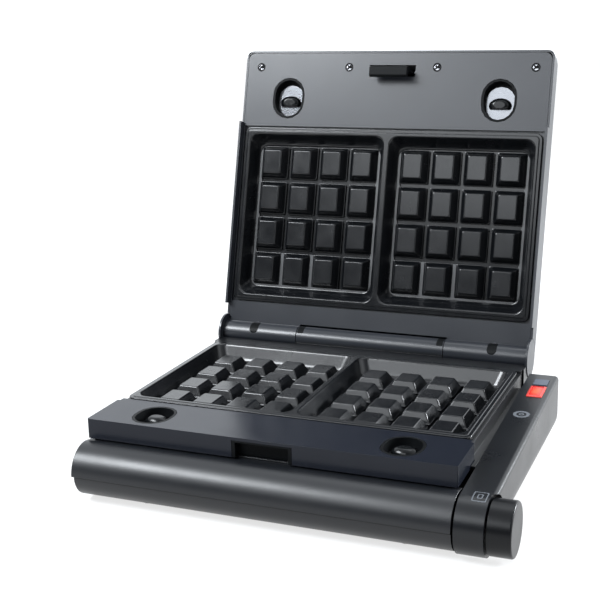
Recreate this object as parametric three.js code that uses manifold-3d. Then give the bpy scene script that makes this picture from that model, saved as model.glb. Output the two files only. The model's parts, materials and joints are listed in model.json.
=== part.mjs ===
// Multi snack maker: a double Belgian waffle iron with interchangeable plates, lid open.
// Millimetres, X to the right, Y to the back, Z up. The pieces are drawn about a datum,
// the middle of the ledge's top front edge, with the lid as closed. The finished group is
// moved so that its origin is the middle of its box on the surface that it stands on.
import * as THREE from 'three';
import { mergeVertices } from 'three/addons/utils/BufferGeometryUtils.js';
import Module from 'manifold-3d';

const wasm = await Module();
wasm.setup();

// Clearances, and how far a cut or a joined form runs past its neighbour
const seatGap = 0.3;
const runningGap = 0.6;
const cutOverrun = 2;
const bite = 1;

// Cooking plates, identical above and below: blocks, cavities round them, rim round those
const blocksPerSide = 4;
const blockBaseX = 26.4;
const blockBaseY = 30.2;
const blockTaperX = 4.5;
const blockTaperY = 3.9;
const blockHeight = 8.4;
const grooveX = 4.2;
const grooveY = 4.4;
const blockPitchX = blockBaseX + grooveX;
const blockPitchY = blockBaseY + grooveY;
const cavityEdgeX = 4.1;
const cavityEdgeY = 4;
const cavityDraftX = 5.1;
const cavityDraftY = 6.8;
const cavityWidth = blocksPerSide * blockPitchX - grooveX + 2 * (cavityEdgeX + cavityDraftX);
const cavityLength = blocksPerSide * blockPitchY - grooveY + 2 * (cavityEdgeY + cavityDraftY);
const cavitySink = 13.6;
const cavityWall = 2.2;
const cavityCorner = 9;
const dividerWidth = 5;
const rimSideReach = 6.1;
const rimEndReach = 6.6;
const plateWidth = 2 * (cavityWidth + rimSideReach) + dividerWidth;
const plateDepth = cavityLength + 2 * rimEndReach;
const plateCorner = 7;
const rimThickness = 3;
const rimBeadWidth = 2.2;
const rimBeadHeight = 0.5;
const rimBeadInset = 2;
const closedBeadGap = 0.4;
const lowerRimTop = 0.8;
const upperRimFace = lowerRimTop + 2 * rimBeadHeight + closedBeadGap;
const levelSum = lowerRimTop + upperRimFace;
const plateUnderside = lowerRimTop - cavitySink - cavityWall;

// Heating
const heaterRadius = 3.25;
const heaterGap = 0.6;
const heaterSideInset = 40.7;
const heaterEndInset = 33.8;
const heaterHalfWidth = plateWidth / 2 - heaterSideInset;
const heaterHalfDepth = plateDepth / 2 - heaterEndInset;
const heaterCorner = 22;
const heaterTailGap = 16;
const trayClearance = 4.8;
const clipWidth = 8;
const reflectorSheet = 0.8;
const reflectorInset = 4;
const reflectorSideInset = 8.8;

// Ledge in front of the lower plate
const ledgeOverhang = 4.8;
const ledgeWidth = plateWidth + 2 * ledgeOverhang;
const ledgeSideDepth = 47;
const ledgeStep = 4.8;
const ledgeDepth = ledgeSideDepth + ledgeStep;
const ledgeFace = 16.2;
const ledgeCorner = 1.2;
const plateLedgeGap = 0.8;
const plateFront = ledgeDepth + plateLedgeGap;
const plateRear = plateFront + plateDepth;
const plateMiddleY = (plateFront + plateRear) / 2;

// Hinge
const hingeSetback = 31.5;
const hingeY = plateRear + hingeSetback;
const hingeZ = 2.7;
const openDegrees = 105.6;
const barrelRadius = 10.5;
const barrelSplit = 72;
const troughGap = 2.5;
const troughRadius = barrelRadius + troughGap;
const pinRadius = 3;
const pinInnerReach = 24;
const pinOuterReach = 36;
const pinInner = barrelSplit - pinInnerReach;
const pinOuter = barrelSplit + pinOuterReach;

// Walls of the base, well for the plate and rear deck
const plateSeatEdge = 2.2;
const bodyHalfWidth = plateWidth / 2 + plateSeatEdge;
const bodyFront = 5;
const bodyRearSetback = 2.9;
const bodyRear = hingeY - bodyRearSetback;
const bodyWall = 2.6;
const rearDeckOverhang = 1.6;
const rearDeckHalfWidth = bodyHalfWidth + rearDeckOverhang;
const rearDeckGap = 5.4;
const rearDeckStart = plateRear + rearDeckGap;
const wellGap = 0.9;
const shelfTop = plateUnderside - heaterGap - 2 * heaterRadius - trayClearance;
const shelfThickness = 2.4;
const shelfReach = 12;

// Front tube with the knob on its right end
const tubeRadius = 22;
const tubeStep = 1.4;
const tubeLowerRadius = tubeRadius - tubeStep;
const tubeAxisY = -6;
const tubeAxisZ = -ledgeFace - seatGap - tubeRadius;
const tubeRightReach = 2;
const tubeLeft = -ledgeWidth / 2;
const tubeRight = ledgeWidth / 2 + tubeRightReach;
const tubeWall = 2.2;
const tubeTopDegrees = 72;

// Pan that closes the base from below
const splitDrop = 0.5;
const splitHeight = tubeAxisZ - splitDrop;
const panBottom = tubeAxisZ - tubeLowerRadius;
const panCorner = tubeRadius;
const panRearCorner = 11;
const panWall = 2.4;

// Control housing along the right side
const housingGap = 1.7;
const housingWidth = 25;
const housingStep = 4;
const housingLeft = tubeRight + housingGap;
const housingRight = housingLeft + housingWidth;
const housingEnd = housingRight - housingStep;
const housingRearReach = 7.1;
const housingRear = plateRear + housingRearReach;
const housingRearTop = -3.4;
const housingTopEdge = 3.4;
const housingWall = 2.4;
const housingFlat = 3;
const housingLowCorner = housingWidth - housingFlat;
const hatchWidth = 12;
const hatchInset = 3.6;
const hatchEndGap = 20;
const lampInset = 7.7;
const lampWidth = 11.8;
const lampSpacing = 3.5;
const lampRearGap = 12.5;
const redLampLength = 22.5;
const greyLampLength = 12.5;
const lampLeft = housingLeft + lampInset;
const greyLampFront = housingRear - lampRearGap - greyLampLength;
const redLampFront = greyLampFront - lampSpacing - redLampLength;
const lampDepth = 5;
const lampProud = 0.7;
const lampHolderDepth = 4.8;
const lampHolderMargin = 2.4;
const thermostatSize = 20;

// Web between the base's right wall and the control housing
const channelTop = -13.5;
const channelThickness = 2.4;
const channelUnderLedge = 12;
const channelSetback = 4.9;
const channelFront = ledgeSideDepth - channelUnderLedge;
const channelRear = plateRear - channelSetback;

// Knob
const knobPocketGap = 0.5;
const knobGap = 1.3;
const knobLength = 17.4;
const knobInset = 1.8;
const knobLeft = housingEnd + knobGap;
const knobRight = knobLeft + knobLength;
const knobRadius = tubeRadius - knobInset;
const knobEdge = 1.6;
const knobWall = 2.4;
const knobHubRadius = 5.5;
const shaftRadius = 3;
const shaftInside = 11.7;
const shaftLeft = housingEnd - shaftInside;

// Lid as closed
const lidFaceStep = 0.8;
const lidFace = upperRimFace + lidFaceStep;
const lidSideBorder = 4.6;
const lidHalfWidth = plateWidth / 2 + lidSideBorder;
const lidFront = -21.6;
const lidWall = 2;
const trayBackGap = 0.4;
const lidBack = levelSum - shelfTop - seatGap + trayBackGap + lidWall;
const lidEdgeRadius = 12;
const lidSideTop = lidBack - lidEdgeRadius;
const lidBackSlope = 6;
const lidRearBorder = 6.5;
const lidRearRadius = barrelRadius + lidRearBorder;
const lidCorner = 6;
const lidCornerGrowth = 7;
const lidPlateThickness = 2.6;
const lidSeatThickness = 2.6;
const upperRimGap = 1.4;
const lipRear = plateFront - upperRimGap;
const bandFront = plateRear + upperRimGap;
const bandSetback = 12;
const bandRear = hingeY - bandSetback;
const lidWellHeight = 12;
const skirtReach = 3;
const skirtFront = lipRear - skirtReach;
const skirtRear = bandFront + skirtReach;
const skirtDrop = 7;

// Plate catches in their cups, one pair in the ledge and one pair in the lid's lip
const catchSideInset = 44.7;
const catchX = bodyHalfWidth - catchSideInset;
const recessFrontInset = 6.5;
const recessRearInset = 10.3;
const recessRear = ledgeDepth - recessRearInset;
const recessLength = recessRear - recessFrontInset;
const catchY = recessRear - recessLength / 2;
const recessWidth = 28;
const recessDepth = 9.6;
const recessWall = 2;
const catchTravel = 3.5;
const catchSteel = 1.6;
const catchNoseWidth = 12;
const catchNoseOverlap = 4.4;
const catchNoseReach = plateFront + catchNoseOverlap;
const catchSpringWall = 1;
const thumbRadius = 8.6;
const thumbHeight = 6.2;
const thumbSetback = 13.8;

// Lid latch, and the keeper that it hooks into
const hookHalfWidth = 18.3;
const hookGap = 1;
const hookStem = 3.4;
const hookFront = -hookGap - hookStem;
const hookDrop = 13.5;
const hookHubRadius = 3.2;
const toothReach = 5.2;
const toothHeight = 5.4;
const toothLead = 1.4;
const latchPinZ = 14;
const latchPinRadius = 1.6;
const latchSpringWall = 1;
const slotSideGap = 4.2;
const slotFrontGap = 3.6;
const slotRearGap = 4;
const slotHalfWidth = hookHalfWidth + slotSideGap;
const slotFront = hookFront - slotFrontGap;
const slotRear = slotRearGap - hookGap;
const hangerWall = 2.4;
const hangerRise = 5;
const hangerTop = latchPinZ + hangerRise;
const toothTopGap = 1;
const toothRearGap = 2.3;
const notchSideGap = 3.3;
const notchHalfWidth = hookHalfWidth + notchSideGap;
const notchTop = hookDrop - lidFace - toothHeight - toothTopGap;
const notchDepth = toothReach + toothRearGap;
const notchWall = 2.6;

// Fasteners and feet
const lipScrewSetback = 15.7;
const lipScrewY = lidFront + lipScrewSetback;
const lipScrewSideInset = 16;
const lipScrewSlotGap = 20.4;
const lipScrewOuter = lidHalfWidth - lipScrewSideInset;
const lipScrewInner = slotHalfWidth + lipScrewSlotGap;
const lipScrewLength = 11;
const hingeScrewReach = 8;
const hingeScrewX = pinOuter + hingeScrewReach;
const hingeScrewSetback = 8.3;
const hingeScrewY = hingeY - hingeScrewSetback;
const hingeScrewLength = 18;
const hingeScrewHead = 2.9;
const panScrewSideInset = 47.4;
const panScrewEndInset = 4.4;
const panScrewX = bodyHalfWidth - panScrewSideInset;
const panScrewFront = plateFront + panScrewEndInset;
const panScrewRear = plateRear - panScrewEndInset;
const panScrewLength = 13;
const screwHeadRadius = 3.6;
const screwHeadHeight = 2;
const screwShankRadius = 1.5;
const screwBossWall = 2.4;
const crossLengthShare = 0.6;
const crossWidthShare = 0.2;
const footRadius = 7;
const footHeight = 3.4;
const floorHeight = panBottom - footHeight;
const frontFootSetback = 8;
const rearFootSetback = 34;
const frontFootLeftInset = 49.4;
const frontFootRightInset = 34.9;
const rearFootLeftInset = 25.4;
const rearFootHousingInset = 7.3;
const frontFootY = tubeAxisY + frontFootSetback;
const rearFootY = bodyRear - rearFootSetback;

// Mains inlet
const glandSideInset = 41.4;
const glandX = bodyHalfWidth - glandSideInset;
const glandDrop = 6.5;
const glandFlangeRadius = 6;
const glandFlangeDepth = 2.4;
const glandSleeveRadius = 4.3;
const glandSleeveLength = 8;
const cordRadius = 2.4;
const terminalOffset = 46;
const terminalSetback = 11.4;
const terminalX = glandX - terminalOffset;
const terminalY = plateRear - terminalSetback;
const terminalWidth = 35;
const terminalDepth = 17.6;
const terminalHeight = 11;

// Fineness of round forms
const wideSteps = 32;
const smallSteps = 16;
const screwSteps = 10;
const cornerSteps = 4;
const heaterSteps = 44;

const finishes = {
  anthracite: { color: 0x4b4f55, roughness: 0.48, metalness: 0.15 },
  tubeSatin: { color: 0x4a4e52, roughness: 0.32, metalness: 0.55 },
  lidGrey: { color: 0x6d7278, roughness: 0.45, metalness: 0.2 },
  sideGrey: { color: 0x8a8f97, roughness: 0.5, metalness: 0.2 },
  nonStick: { color: 0x17181a, roughness: 0.28, metalness: 0.1 },
  blackPlastic: { color: 0x1d1f21, roughness: 0.42, metalness: 0 },
  steel: { color: 0xb9bcc0, roughness: 0.3, metalness: 0.9 },
  darkSteel: { color: 0x3a3c3f, roughness: 0.35, metalness: 0.8 },
  aluminium: { color: 0xc9ccd0, roughness: 0.35, metalness: 0.9 },
  redLens: { color: 0xe3241a, roughness: 0.2, metalness: 0 },
  greyLens: { color: 0x66707e, roughness: 0.2, metalness: 0 },
  rubber: { color: 0x151515, roughness: 0.85, metalness: 0 },
};

// Turning closed meshes into solids and back, joining and cutting

function toSolid(geometry) {
  const plain = geometry.clone();
  plain.deleteAttribute('normal');
  plain.deleteAttribute('uv');
  const merged = mergeVertices(plain);
  return new wasm.Manifold(new wasm.Mesh({
    numProp: 3,
    vertProperties: new Float32Array(merged.attributes.position.array),
    triVerts: new Uint32Array(merged.index.array),
  }));
}

function toGeometry(solid) {
  const mesh = solid.getMesh();
  const geometry = new THREE.BufferGeometry();
  geometry.setAttribute('position', new THREE.BufferAttribute(mesh.vertProperties, 3));
  geometry.setIndex(new THREE.BufferAttribute(mesh.triVerts, 1));
  return geometry;
}

function join(...solids) {
  return solids.reduce((whole, next) => whole.add(next));
}

function cut(solid, ...tools) {
  return tools.reduce((whole, tool) => whole.subtract(tool), solid);
}

// Turns a solid over, so that height z goes to levelSum - z.
function turnOver(solid, levelSum) {
  const geometry = toGeometry(solid);
  geometry.scale(1, 1, -1);
  geometry.translate(0, 0, levelSum);
  const index = geometry.index.array;
  for (let i = 0; i < index.length; i += 3) {
    [index[i], index[i + 1]] = [index[i + 1], index[i]];
  }
  return toSolid(geometry);
}

// Basic forms. A pair of limits may be given in either order.

function sorted([a, b]) {
  return a < b ? [a, b] : [b, a];
}

function box(xs, ys, zs) {
  const [x0, x1] = sorted(xs);
  const [y0, y1] = sorted(ys);
  const [z0, z1] = sorted(zs);
  const geometry = new THREE.BoxGeometry(x1 - x0, y1 - y0, z1 - z0);
  geometry.translate((x0 + x1) / 2, (y0 + y1) / 2, (z0 + z1) / 2);
  return toSolid(geometry);
}

function cylinderX(xs, y, z, radius, steps = wideSteps) {
  const [x0, x1] = sorted(xs);
  const geometry = new THREE.CylinderGeometry(radius, radius, x1 - x0, steps);
  geometry.rotateZ(Math.PI / 2);
  geometry.translate((x0 + x1) / 2, y, z);
  return toSolid(geometry);
}

function cylinderY(x, ys, z, radius, steps = smallSteps) {
  const [y0, y1] = sorted(ys);
  const geometry = new THREE.CylinderGeometry(radius, radius, y1 - y0, steps);
  geometry.translate(x, (y0 + y1) / 2, z);
  return toSolid(geometry);
}

function cylinderZ(x, y, zs, radius, steps = smallSteps) {
  const [z0, z1] = sorted(zs);
  const geometry = new THREE.CylinderGeometry(radius, radius, z1 - z0, steps);
  geometry.rotateX(Math.PI / 2);
  geometry.translate(x, y, (z0 + z1) / 2);
  return toSolid(geometry);
}

// A closed outline of (y, z) points, carried along X.
function prismX(outline, xs) {
  const [x0, x1] = sorted(xs);
  const shape = new THREE.Shape(outline.map(([y, z]) => new THREE.Vector2(y, z)));
  const geometry = new THREE.ExtrudeGeometry(shape, { depth: x1 - x0, bevelEnabled: false });
  geometry.applyMatrix4(new THREE.Matrix4().set(0, 0, 1, x0, 1, 0, 0, 0, 0, 1, 0, 0, 0, 0, 0, 1));
  return toSolid(geometry);
}

// A closed outline of (x, z) points, carried along Y and raised by the slope as it goes.
function prismY(outline, ys, slope = 0) {
  const [y0, y1] = sorted(ys);
  const shape = new THREE.Shape(outline.map(([x, z]) => new THREE.Vector2(x, z)));
  const geometry = new THREE.ExtrudeGeometry(shape, { depth: y1 - y0, bevelEnabled: false });
  geometry.applyMatrix4(new THREE.Matrix4().set(1, 0, 0, 0, 0, 0, -1, y1, 0, 1, 0, 0, 0, 0, 0, 1));
  geometry.applyMatrix4(new THREE.Matrix4().set(1, 0, 0, 0, 0, 1, 0, 0, 0, slope, 1, 0, 0, 0, 0, 1));
  return toSolid(geometry);
}

function arc(centreU, centreV, radius, fromDegrees, toDegrees, steps) {
  const points = [];
  for (let i = 0; i <= steps; i += 1) {
    const angle = THREE.MathUtils.degToRad(fromDegrees + (toDegrees - fromDegrees) * i / steps);
    points.push([centreU + radius * Math.cos(angle), centreV + radius * Math.sin(angle)]);
  }
  return points;
}

// Points of a rectangle with round corners, anticlockwise from above.
function roundedRing(xs, ys, radius, steps = cornerSteps) {
  const [x0, x1] = sorted(xs);
  const [y0, y1] = sorted(ys);
  return [
    ...arc(x1 - radius, y1 - radius, radius, 0, 90, steps),
    ...arc(x0 + radius, y1 - radius, radius, 90, 180, steps),
    ...arc(x0 + radius, y0 + radius, radius, 180, 270, steps),
    ...arc(x1 - radius, y0 + radius, radius, 270, 360, steps),
  ];
}

function middleAndHalf(middle, half) {
  return [middle - half, middle + half];
}

// A closed skin through level rings of equally many points, the first ring lowest.
function loft(rings) {
  const count = rings[0].points.length;
  const positions = [];
  for (const ring of rings) {
    for (const [x, y] of ring.points) positions.push(x, y, ring.z);
  }
  const index = [];
  for (let level = 0; level + 1 < rings.length; level += 1) {
    for (let i = 0; i < count; i += 1) {
      const a = level * count + i;
      const b = level * count + (i + 1) % count;
      index.push(a, b, b + count, a, b + count, a + count);
    }
  }
  const top = (rings.length - 1) * count;
  for (let i = 1; i + 1 < count; i += 1) {
    index.push(0, i + 1, i);
    index.push(top, top + i, top + i + 1);
  }
  const geometry = new THREE.BufferGeometry();
  geometry.setAttribute('position', new THREE.Float32BufferAttribute(positions, 3));
  geometry.setIndex(index);
  return toSolid(geometry);
}

function roundedSlab(xs, ys, zs, radius) {
  const points = roundedRing(xs, ys, radius);
  const [z0, z1] = sorted(zs);
  return loft([{ z: z0, points }, { z: z1, points }]);
}

// Two half circles joined by straight sides, the long way along Y.
function stadium(x, y, width, length, zs) {
  const radius = width / 2;
  const reach = length / 2 - radius;
  const points = [
    ...arc(x, y + reach, radius, 0, 180, smallSteps / 2),
    ...arc(x, y - reach, radius, 180, 360, smallSteps / 2),
  ];
  const [z0, z1] = sorted(zs);
  return loft([{ z: z0, points }, { z: z1, points }]);
}

function bothSides(make) {
  return [-1, 1].map(make);
}

// Cooking plate, drawn as the lower one

const cavityShift = (cavityWidth + dividerWidth) / 2;
const cavityFloor = lowerRimTop - cavitySink;

function plateRing(inset, z) {
  return {
    z,
    points: roundedRing(
      middleAndHalf(0, plateWidth / 2 - inset),
      [plateFront + inset, plateRear - inset],
      plateCorner),
  };
}

// One cavity's form, grown outwards by the wall, from its floor up to the top height.
function cavityForm(side, wall, top, floor) {
  const x = side * cavityShift;
  const ringAt = (z) => {
    const share = (lowerRimTop - z) / cavitySink;
    const halfX = cavityWidth / 2 + wall - cavityDraftX * share;
    const halfY = cavityLength / 2 + wall - cavityDraftY * share;
    const points = roundedRing(middleAndHalf(x, halfX), middleAndHalf(plateMiddleY, halfY), cavityCorner);
    return { z, points };
  };
  return loft([ringAt(floor), ringAt(top)]);
}

function waffleBlock(x, y) {
  const corners = (width, length) => [
    [x + width / 2, y + length / 2],
    [x - width / 2, y + length / 2],
    [x - width / 2, y - length / 2],
    [x + width / 2, y - length / 2],
  ];
  return loft([
    { z: cavityFloor - seatGap, points: corners(blockBaseX, blockBaseY) },
    {
      z: cavityFloor + blockHeight,
      points: corners(blockBaseX - 2 * blockTaperX, blockBaseY - 2 * blockTaperY),
    },
  ]);
}

function cookingPlate() {
  const rim = loft([plateRing(0, lowerRimTop - rimThickness), plateRing(0, lowerRimTop)]);
  const beadTop = lowerRimTop + rimBeadHeight;
  const bead = cut(
    loft([plateRing(rimBeadInset, lowerRimTop - rimThickness / 2), plateRing(rimBeadInset, beadTop)]),
    loft([
      plateRing(rimBeadInset + rimBeadWidth, lowerRimTop - rimThickness),
      plateRing(rimBeadInset + rimBeadWidth, beadTop + cutOverrun)]));
  const pans = bothSides((side) => cavityForm(side, cavityWall, lowerRimTop, plateUnderside));
  const cavities = bothSides((side) => cavityForm(side, 0, lowerRimTop + cutOverrun, cavityFloor));
  let plate = cut(join(rim, bead, ...pans), ...cavities);
  const middle = (blocksPerSide - 1) / 2;
  for (const side of [-1, 1]) {
    for (let column = 0; column < blocksPerSide; column += 1) {
      for (let row = 0; row < blocksPerSide; row += 1) {
        const x = side * cavityShift + (column - middle) * blockPitchX;
        const y = plateMiddleY + (row - middle) * blockPitchY;
        plate = plate.add(waffleBlock(x, y));
      }
    }
  }
  return plate;
}

// Heating, drawn as the lower set

function heaterLoop() {
  const z = plateUnderside - heaterGap - heaterRadius;
  const w = heaterHalfWidth;
  const d = heaterHalfDepth;
  const c = heaterCorner;
  const points = [
    [-heaterTailGap, -d], [-w + c, -d], [-w, -d + c], [-w, d - c], [-w + c, d], [0, d],
    [w - c, d], [w, d - c], [w, -d + c], [w - c, -d], [heaterTailGap, -d],
  ].map(([x, y]) => new THREE.Vector3(x, plateMiddleY + y, z));
  const section = new THREE.Shape();
  section.absarc(0, 0, heaterRadius, 0, 2 * Math.PI);
  return toSolid(new THREE.ExtrudeGeometry(section, {
    steps: heaterSteps,
    curveSegments: cornerSteps,
    bevelEnabled: false,
    extrudePath: new THREE.CatmullRomCurve3(points, false, 'centripetal'),
  }));
}

// Sheet tray under the heater, with two clips that carry the loop
function reflectorTray() {
  const halfX = bodyHalfWidth - bodyWall - reflectorSideInset;
  const floor = shelfTop + seatGap;
  const front = plateFront + reflectorInset;
  const rear = plateRear - reflectorInset;
  const top = (floor + plateUnderside) / 2;
  const sheet = reflectorSheet;
  const tray = cut(
    box([-halfX, halfX], [front, rear], [floor, top]),
    box([-halfX + sheet, halfX - sheet], [front + sheet, rear - sheet], [floor + sheet, top + cutOverrun]));
  const clipTop = plateUnderside - heaterGap - 2 * heaterRadius - seatGap;
  const clips = bothSides((side) => box(
    middleAndHalf(side * heaterHalfWidth, clipWidth / 2),
    middleAndHalf(plateMiddleY, clipWidth / 2),
    [floor + sheet / 2, clipTop]));
  return join(tray, ...clips);
}

// Plate catches. faceZ is the lip's face, and inward is -1 where the recess goes down
// from it and 1 where it goes up.

// A recess's outline, grown outwards, from the face to the given depth
function recessForm(side, faceZ, inward, growth, depth) {
  return stadium(side * catchX, catchY, recessWidth + 2 * growth, recessLength + 2 * growth,
    [faceZ, faceZ + inward * depth]);
}

function cupHole(side, faceZ, inward) {
  return recessForm(side, faceZ - inward * cutOverrun, inward, recessWall + seatGap,
    recessDepth + 2 * recessWall + cutOverrun);
}

// The window behind the recess, which the catch's nose passes through
function noseWindow(side, faceZ, inward) {
  return box(
    middleAndHalf(side * catchX, catchNoseWidth / 2 + seatGap),
    [recessRear - recessWall, plateFront + bodyWall + cutOverrun],
    [faceZ + inward * (recessDepth + seatGap / 2), faceZ + inward * (recessDepth - catchSteel - 2 * seatGap)]);
}

function catchCup(side, faceZ, inward) {
  return cut(recessForm(side, faceZ, inward, recessWall, recessDepth + recessWall),
    recessForm(side, faceZ - inward * cutOverrun, inward, 0, recessDepth + cutOverrun),
    noseWindow(side, faceZ, inward));
}

function catchSlide(side, faceZ, inward) {
  const seat = faceZ + inward * (recessDepth - seatGap);
  const zs = [seat, seat - inward * catchSteel];
  const padLength = recessLength - catchTravel - 2 * seatGap;
  const pad = stadium(side * catchX, recessRear - seatGap - padLength / 2, recessWidth - 2 * seatGap,
    padLength, zs);
  const nose = box(middleAndHalf(side * catchX, catchNoseWidth / 2), [catchY, catchNoseReach], zs);
  return join(pad, nose);
}

function catchThumb(side, faceZ, inward) {
  const seat = faceZ + inward * (recessDepth - catchSteel - 3 * seatGap / 2);
  const y = recessRear - thumbSetback;
  const dome = new THREE.SphereGeometry(thumbRadius, smallSteps, smallSteps / 2);
  dome.scale(1, 1, thumbHeight / thumbRadius);
  dome.translate(side * catchX, y, seat);
  const around = thumbRadius + cutOverrun;
  return toSolid(dome).intersect(box(middleAndHalf(side * catchX, around), middleAndHalf(y, around),
    [seat, seat - inward * (thumbHeight + cutOverrun)]));
}

// Sleeve round the nose, which stands for the catch's return spring
function catchSpring(side, faceZ, inward, wallRear) {
  const z = faceZ + inward * (recessDepth - seatGap - catchSteel / 2);
  const halfX = catchNoseWidth / 2 + seatGap;
  const halfZ = catchSteel / 2 + seatGap;
  const wall = catchSpringWall;
  const front = recessRear + recessWall + seatGap;
  const rear = wallRear - bodyWall - seatGap;
  return cut(
    box(middleAndHalf(side * catchX, halfX + wall), [front, rear], middleAndHalf(z, halfZ + wall)),
    box(middleAndHalf(side * catchX, halfX), [front - cutOverrun, rear + cutOverrun], middleAndHalf(z, halfZ)));
}

// Fasteners and feet

// A cross-head screw whose head starts at headFace, its shank pointing inward.
function screw(x, y, headFace, inward, length, headRadius) {
  const head = cylinderZ(x, y, [headFace, headFace + inward * screwHeadHeight], headRadius);
  const shank = cylinderZ(x, y, [headFace, headFace + inward * length], screwShankRadius, screwSteps);
  const slotHalf = headRadius * crossLengthShare;
  const slotWidth = headRadius * crossWidthShare;
  const slotZs = [headFace - inward * cutOverrun, headFace + inward * screwHeadHeight / 2];
  return cut(join(head, shank),
    box(middleAndHalf(x, slotHalf), middleAndHalf(y, slotWidth), slotZs),
    box(middleAndHalf(x, slotWidth), middleAndHalf(y, slotHalf), slotZs));
}

function foot(x, y) {
  return cylinderZ(x, y, [floorHeight, panBottom - seatGap], footRadius, 2 * screwSteps);
}

const panScrewPlaces = [
  [-panScrewX, panScrewFront],
  [panScrewX, panScrewFront],
  [-panScrewX, panScrewRear],
  [panScrewX, panScrewRear],
];

const lipScrewPlaces = [-lipScrewOuter, -lipScrewInner, lipScrewInner, lipScrewOuter];

// Pan that closes the base from below and is the lower half of the tube

function panForm(inset) {
  const radius = tubeLowerRadius - inset;
  const rearRadius = panRearCorner - inset;
  const sideRadius = panCorner - inset;
  const top = splitHeight + cutOverrun;
  const bottom = panBottom + inset;
  const rear = bodyRear - inset;
  const left = -bodyHalfWidth + inset;
  const profile = [
    [tubeAxisY - radius, top],
    ...arc(tubeAxisY, tubeAxisZ, radius, 180, 270, 10),
    ...arc(rear - rearRadius, bottom + rearRadius, rearRadius, 270, 360, 5),
    [rear, top],
  ];
  const section = [
    [left, top + cutOverrun],
    ...arc(left + sideRadius, bottom + sideRadius, sideRadius, 180, 270, 8),
    [tubeRight + cutOverrun, bottom],
    [tubeRight + cutOverrun, top + cutOverrun],
  ];
  const tubeRear = tubeAxisY + tubeLowerRadius;
  const behindTube = prismY(section, [tubeRear, bodyRear + cutOverrun]);
  const aroundTube = box([tubeLeft - cutOverrun, tubeRight + cutOverrun],
    [tubeAxisY - tubeRadius, tubeRear + bite], [panBottom - cutOverrun, top + cutOverrun]);
  const whole = prismX(profile, [tubeLeft + tubeRadius - tubeLowerRadius + inset, tubeRight - inset]);
  return whole.intersect(join(behindTube, aroundTube));
}

function basePan() {
  const aboveSplit = box([tubeLeft - cutOverrun, tubeRight + cutOverrun],
    [tubeAxisY - tubeRadius - cutOverrun, bodyRear + cutOverrun],
    [splitHeight - seatGap, splitHeight + 2 * cutOverrun]);
  const screwHoles = panScrewPlaces.map(([x, y]) => cylinderZ(x, y,
    [panBottom - cutOverrun, panBottom + panWall + cutOverrun], screwShankRadius + seatGap, screwSteps));
  const glandHole = cylinderY(glandX, [bodyRear - panRearCorner, bodyRear + cutOverrun],
    splitHeight - glandDrop, glandSleeveRadius + seatGap);
  return cut(panForm(0), panForm(panWall), aboveSplit, ...screwHoles, glandHole);
}

// Upper half of the front tube

function tubeCover() {
  const outer = arc(tubeAxisY, tubeAxisZ, tubeRadius, 180, tubeTopDegrees, 14);
  const inner = arc(tubeAxisY, tubeAxisZ, tubeRadius - tubeWall, tubeTopDegrees, 180, 14);
  const rear = bodyFront - seatGap;
  const rearTop = outer[outer.length - 1][1];
  const section = [...outer, [rear, rearTop], [rear, rearTop - tubeWall], ...inner];
  const skin = prismX(section, [tubeLeft, tubeRight]);
  const endCap = prismX([...outer, [rear, rearTop], [rear, tubeAxisZ]], [tubeLeft, tubeLeft + tubeWall]);
  return join(skin, endCap);
}

// Ledge, a plate with front and side aprons, and the keeper of the latch in its front

const keeperHalfWidth = notchHalfWidth + notchWall;
const keeperRear = notchDepth + notchWall;

function ledge() {
  const slab = (halfX, depth) => roundedSlab([-halfX, halfX], [0, depth], [-ledgeFace, 0], ledgeCorner);
  const hollow = box(middleAndHalf(0, bodyHalfWidth + seatGap), [bodyWall, ledgeDepth + cutOverrun],
    [-ledgeFace - cutOverrun, -bodyWall]);
  const keeperWindow = box(middleAndHalf(0, keeperHalfWidth + seatGap), [-cutOverrun, bodyWall + cutOverrun],
    [-ledgeFace - cutOverrun, -bodyWall]);
  return cut(join(slab(ledgeWidth / 2, ledgeSideDepth), slab(bodyHalfWidth, ledgeDepth)), hollow, keeperWindow,
    ...bothSides((side) => cupHole(side, 0, -1)));
}

function latchKeeper() {
  return cut(
    box([-keeperHalfWidth, keeperHalfWidth], [0, keeperRear], [-ledgeFace, -bodyWall - seatGap]),
    box([-notchHalfWidth, notchHalfWidth], [-cutOverrun, notchDepth], [-ledgeFace - cutOverrun, -notchTop]));
}

// Housing of the base: walls, well, rear deck and the middle hinge barrel

function bodyWalls(rimSeat) {
  const inner = bodyHalfWidth - bodyWall;
  const front = box(middleAndHalf(0, bodyHalfWidth), [bodyFront, bodyFront + bodyWall],
    [splitHeight, -bodyWall]);
  const rear = box(middleAndHalf(0, rearDeckHalfWidth), [bodyRear - bodyWall, bodyRear], [splitHeight, 0]);
  const sides = bothSides((side) => join(
    box([side * inner, side * bodyHalfWidth], [bodyFront, bodyRear], [splitHeight, rimSeat]),
    box([side * inner, side * rearDeckHalfWidth], [rearDeckStart, bodyRear], [splitHeight, 0])));
  return join(front, rear, ...sides);
}

// Walls round the plate's well. The plate's rim lies on the lower inner steps.
function wellWalls(rimSeat) {
  const width = middleAndHalf(0, bodyHalfWidth - bodyWall + bite);
  const rear = plateRear + wellGap;
  return join(
    box(width, [ledgeDepth - bodyWall, ledgeDepth], [shelfTop, -bodyWall / 2]),
    box(width, [ledgeDepth - bodyWall, plateFront + bodyWall], [shelfTop, rimSeat]),
    box(width, [plateRear - bodyWall, rear], [shelfTop, rimSeat]),
    box(width, [rear, rear + bodyWall], [shelfTop, -bodyWall / 2]));
}

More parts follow.
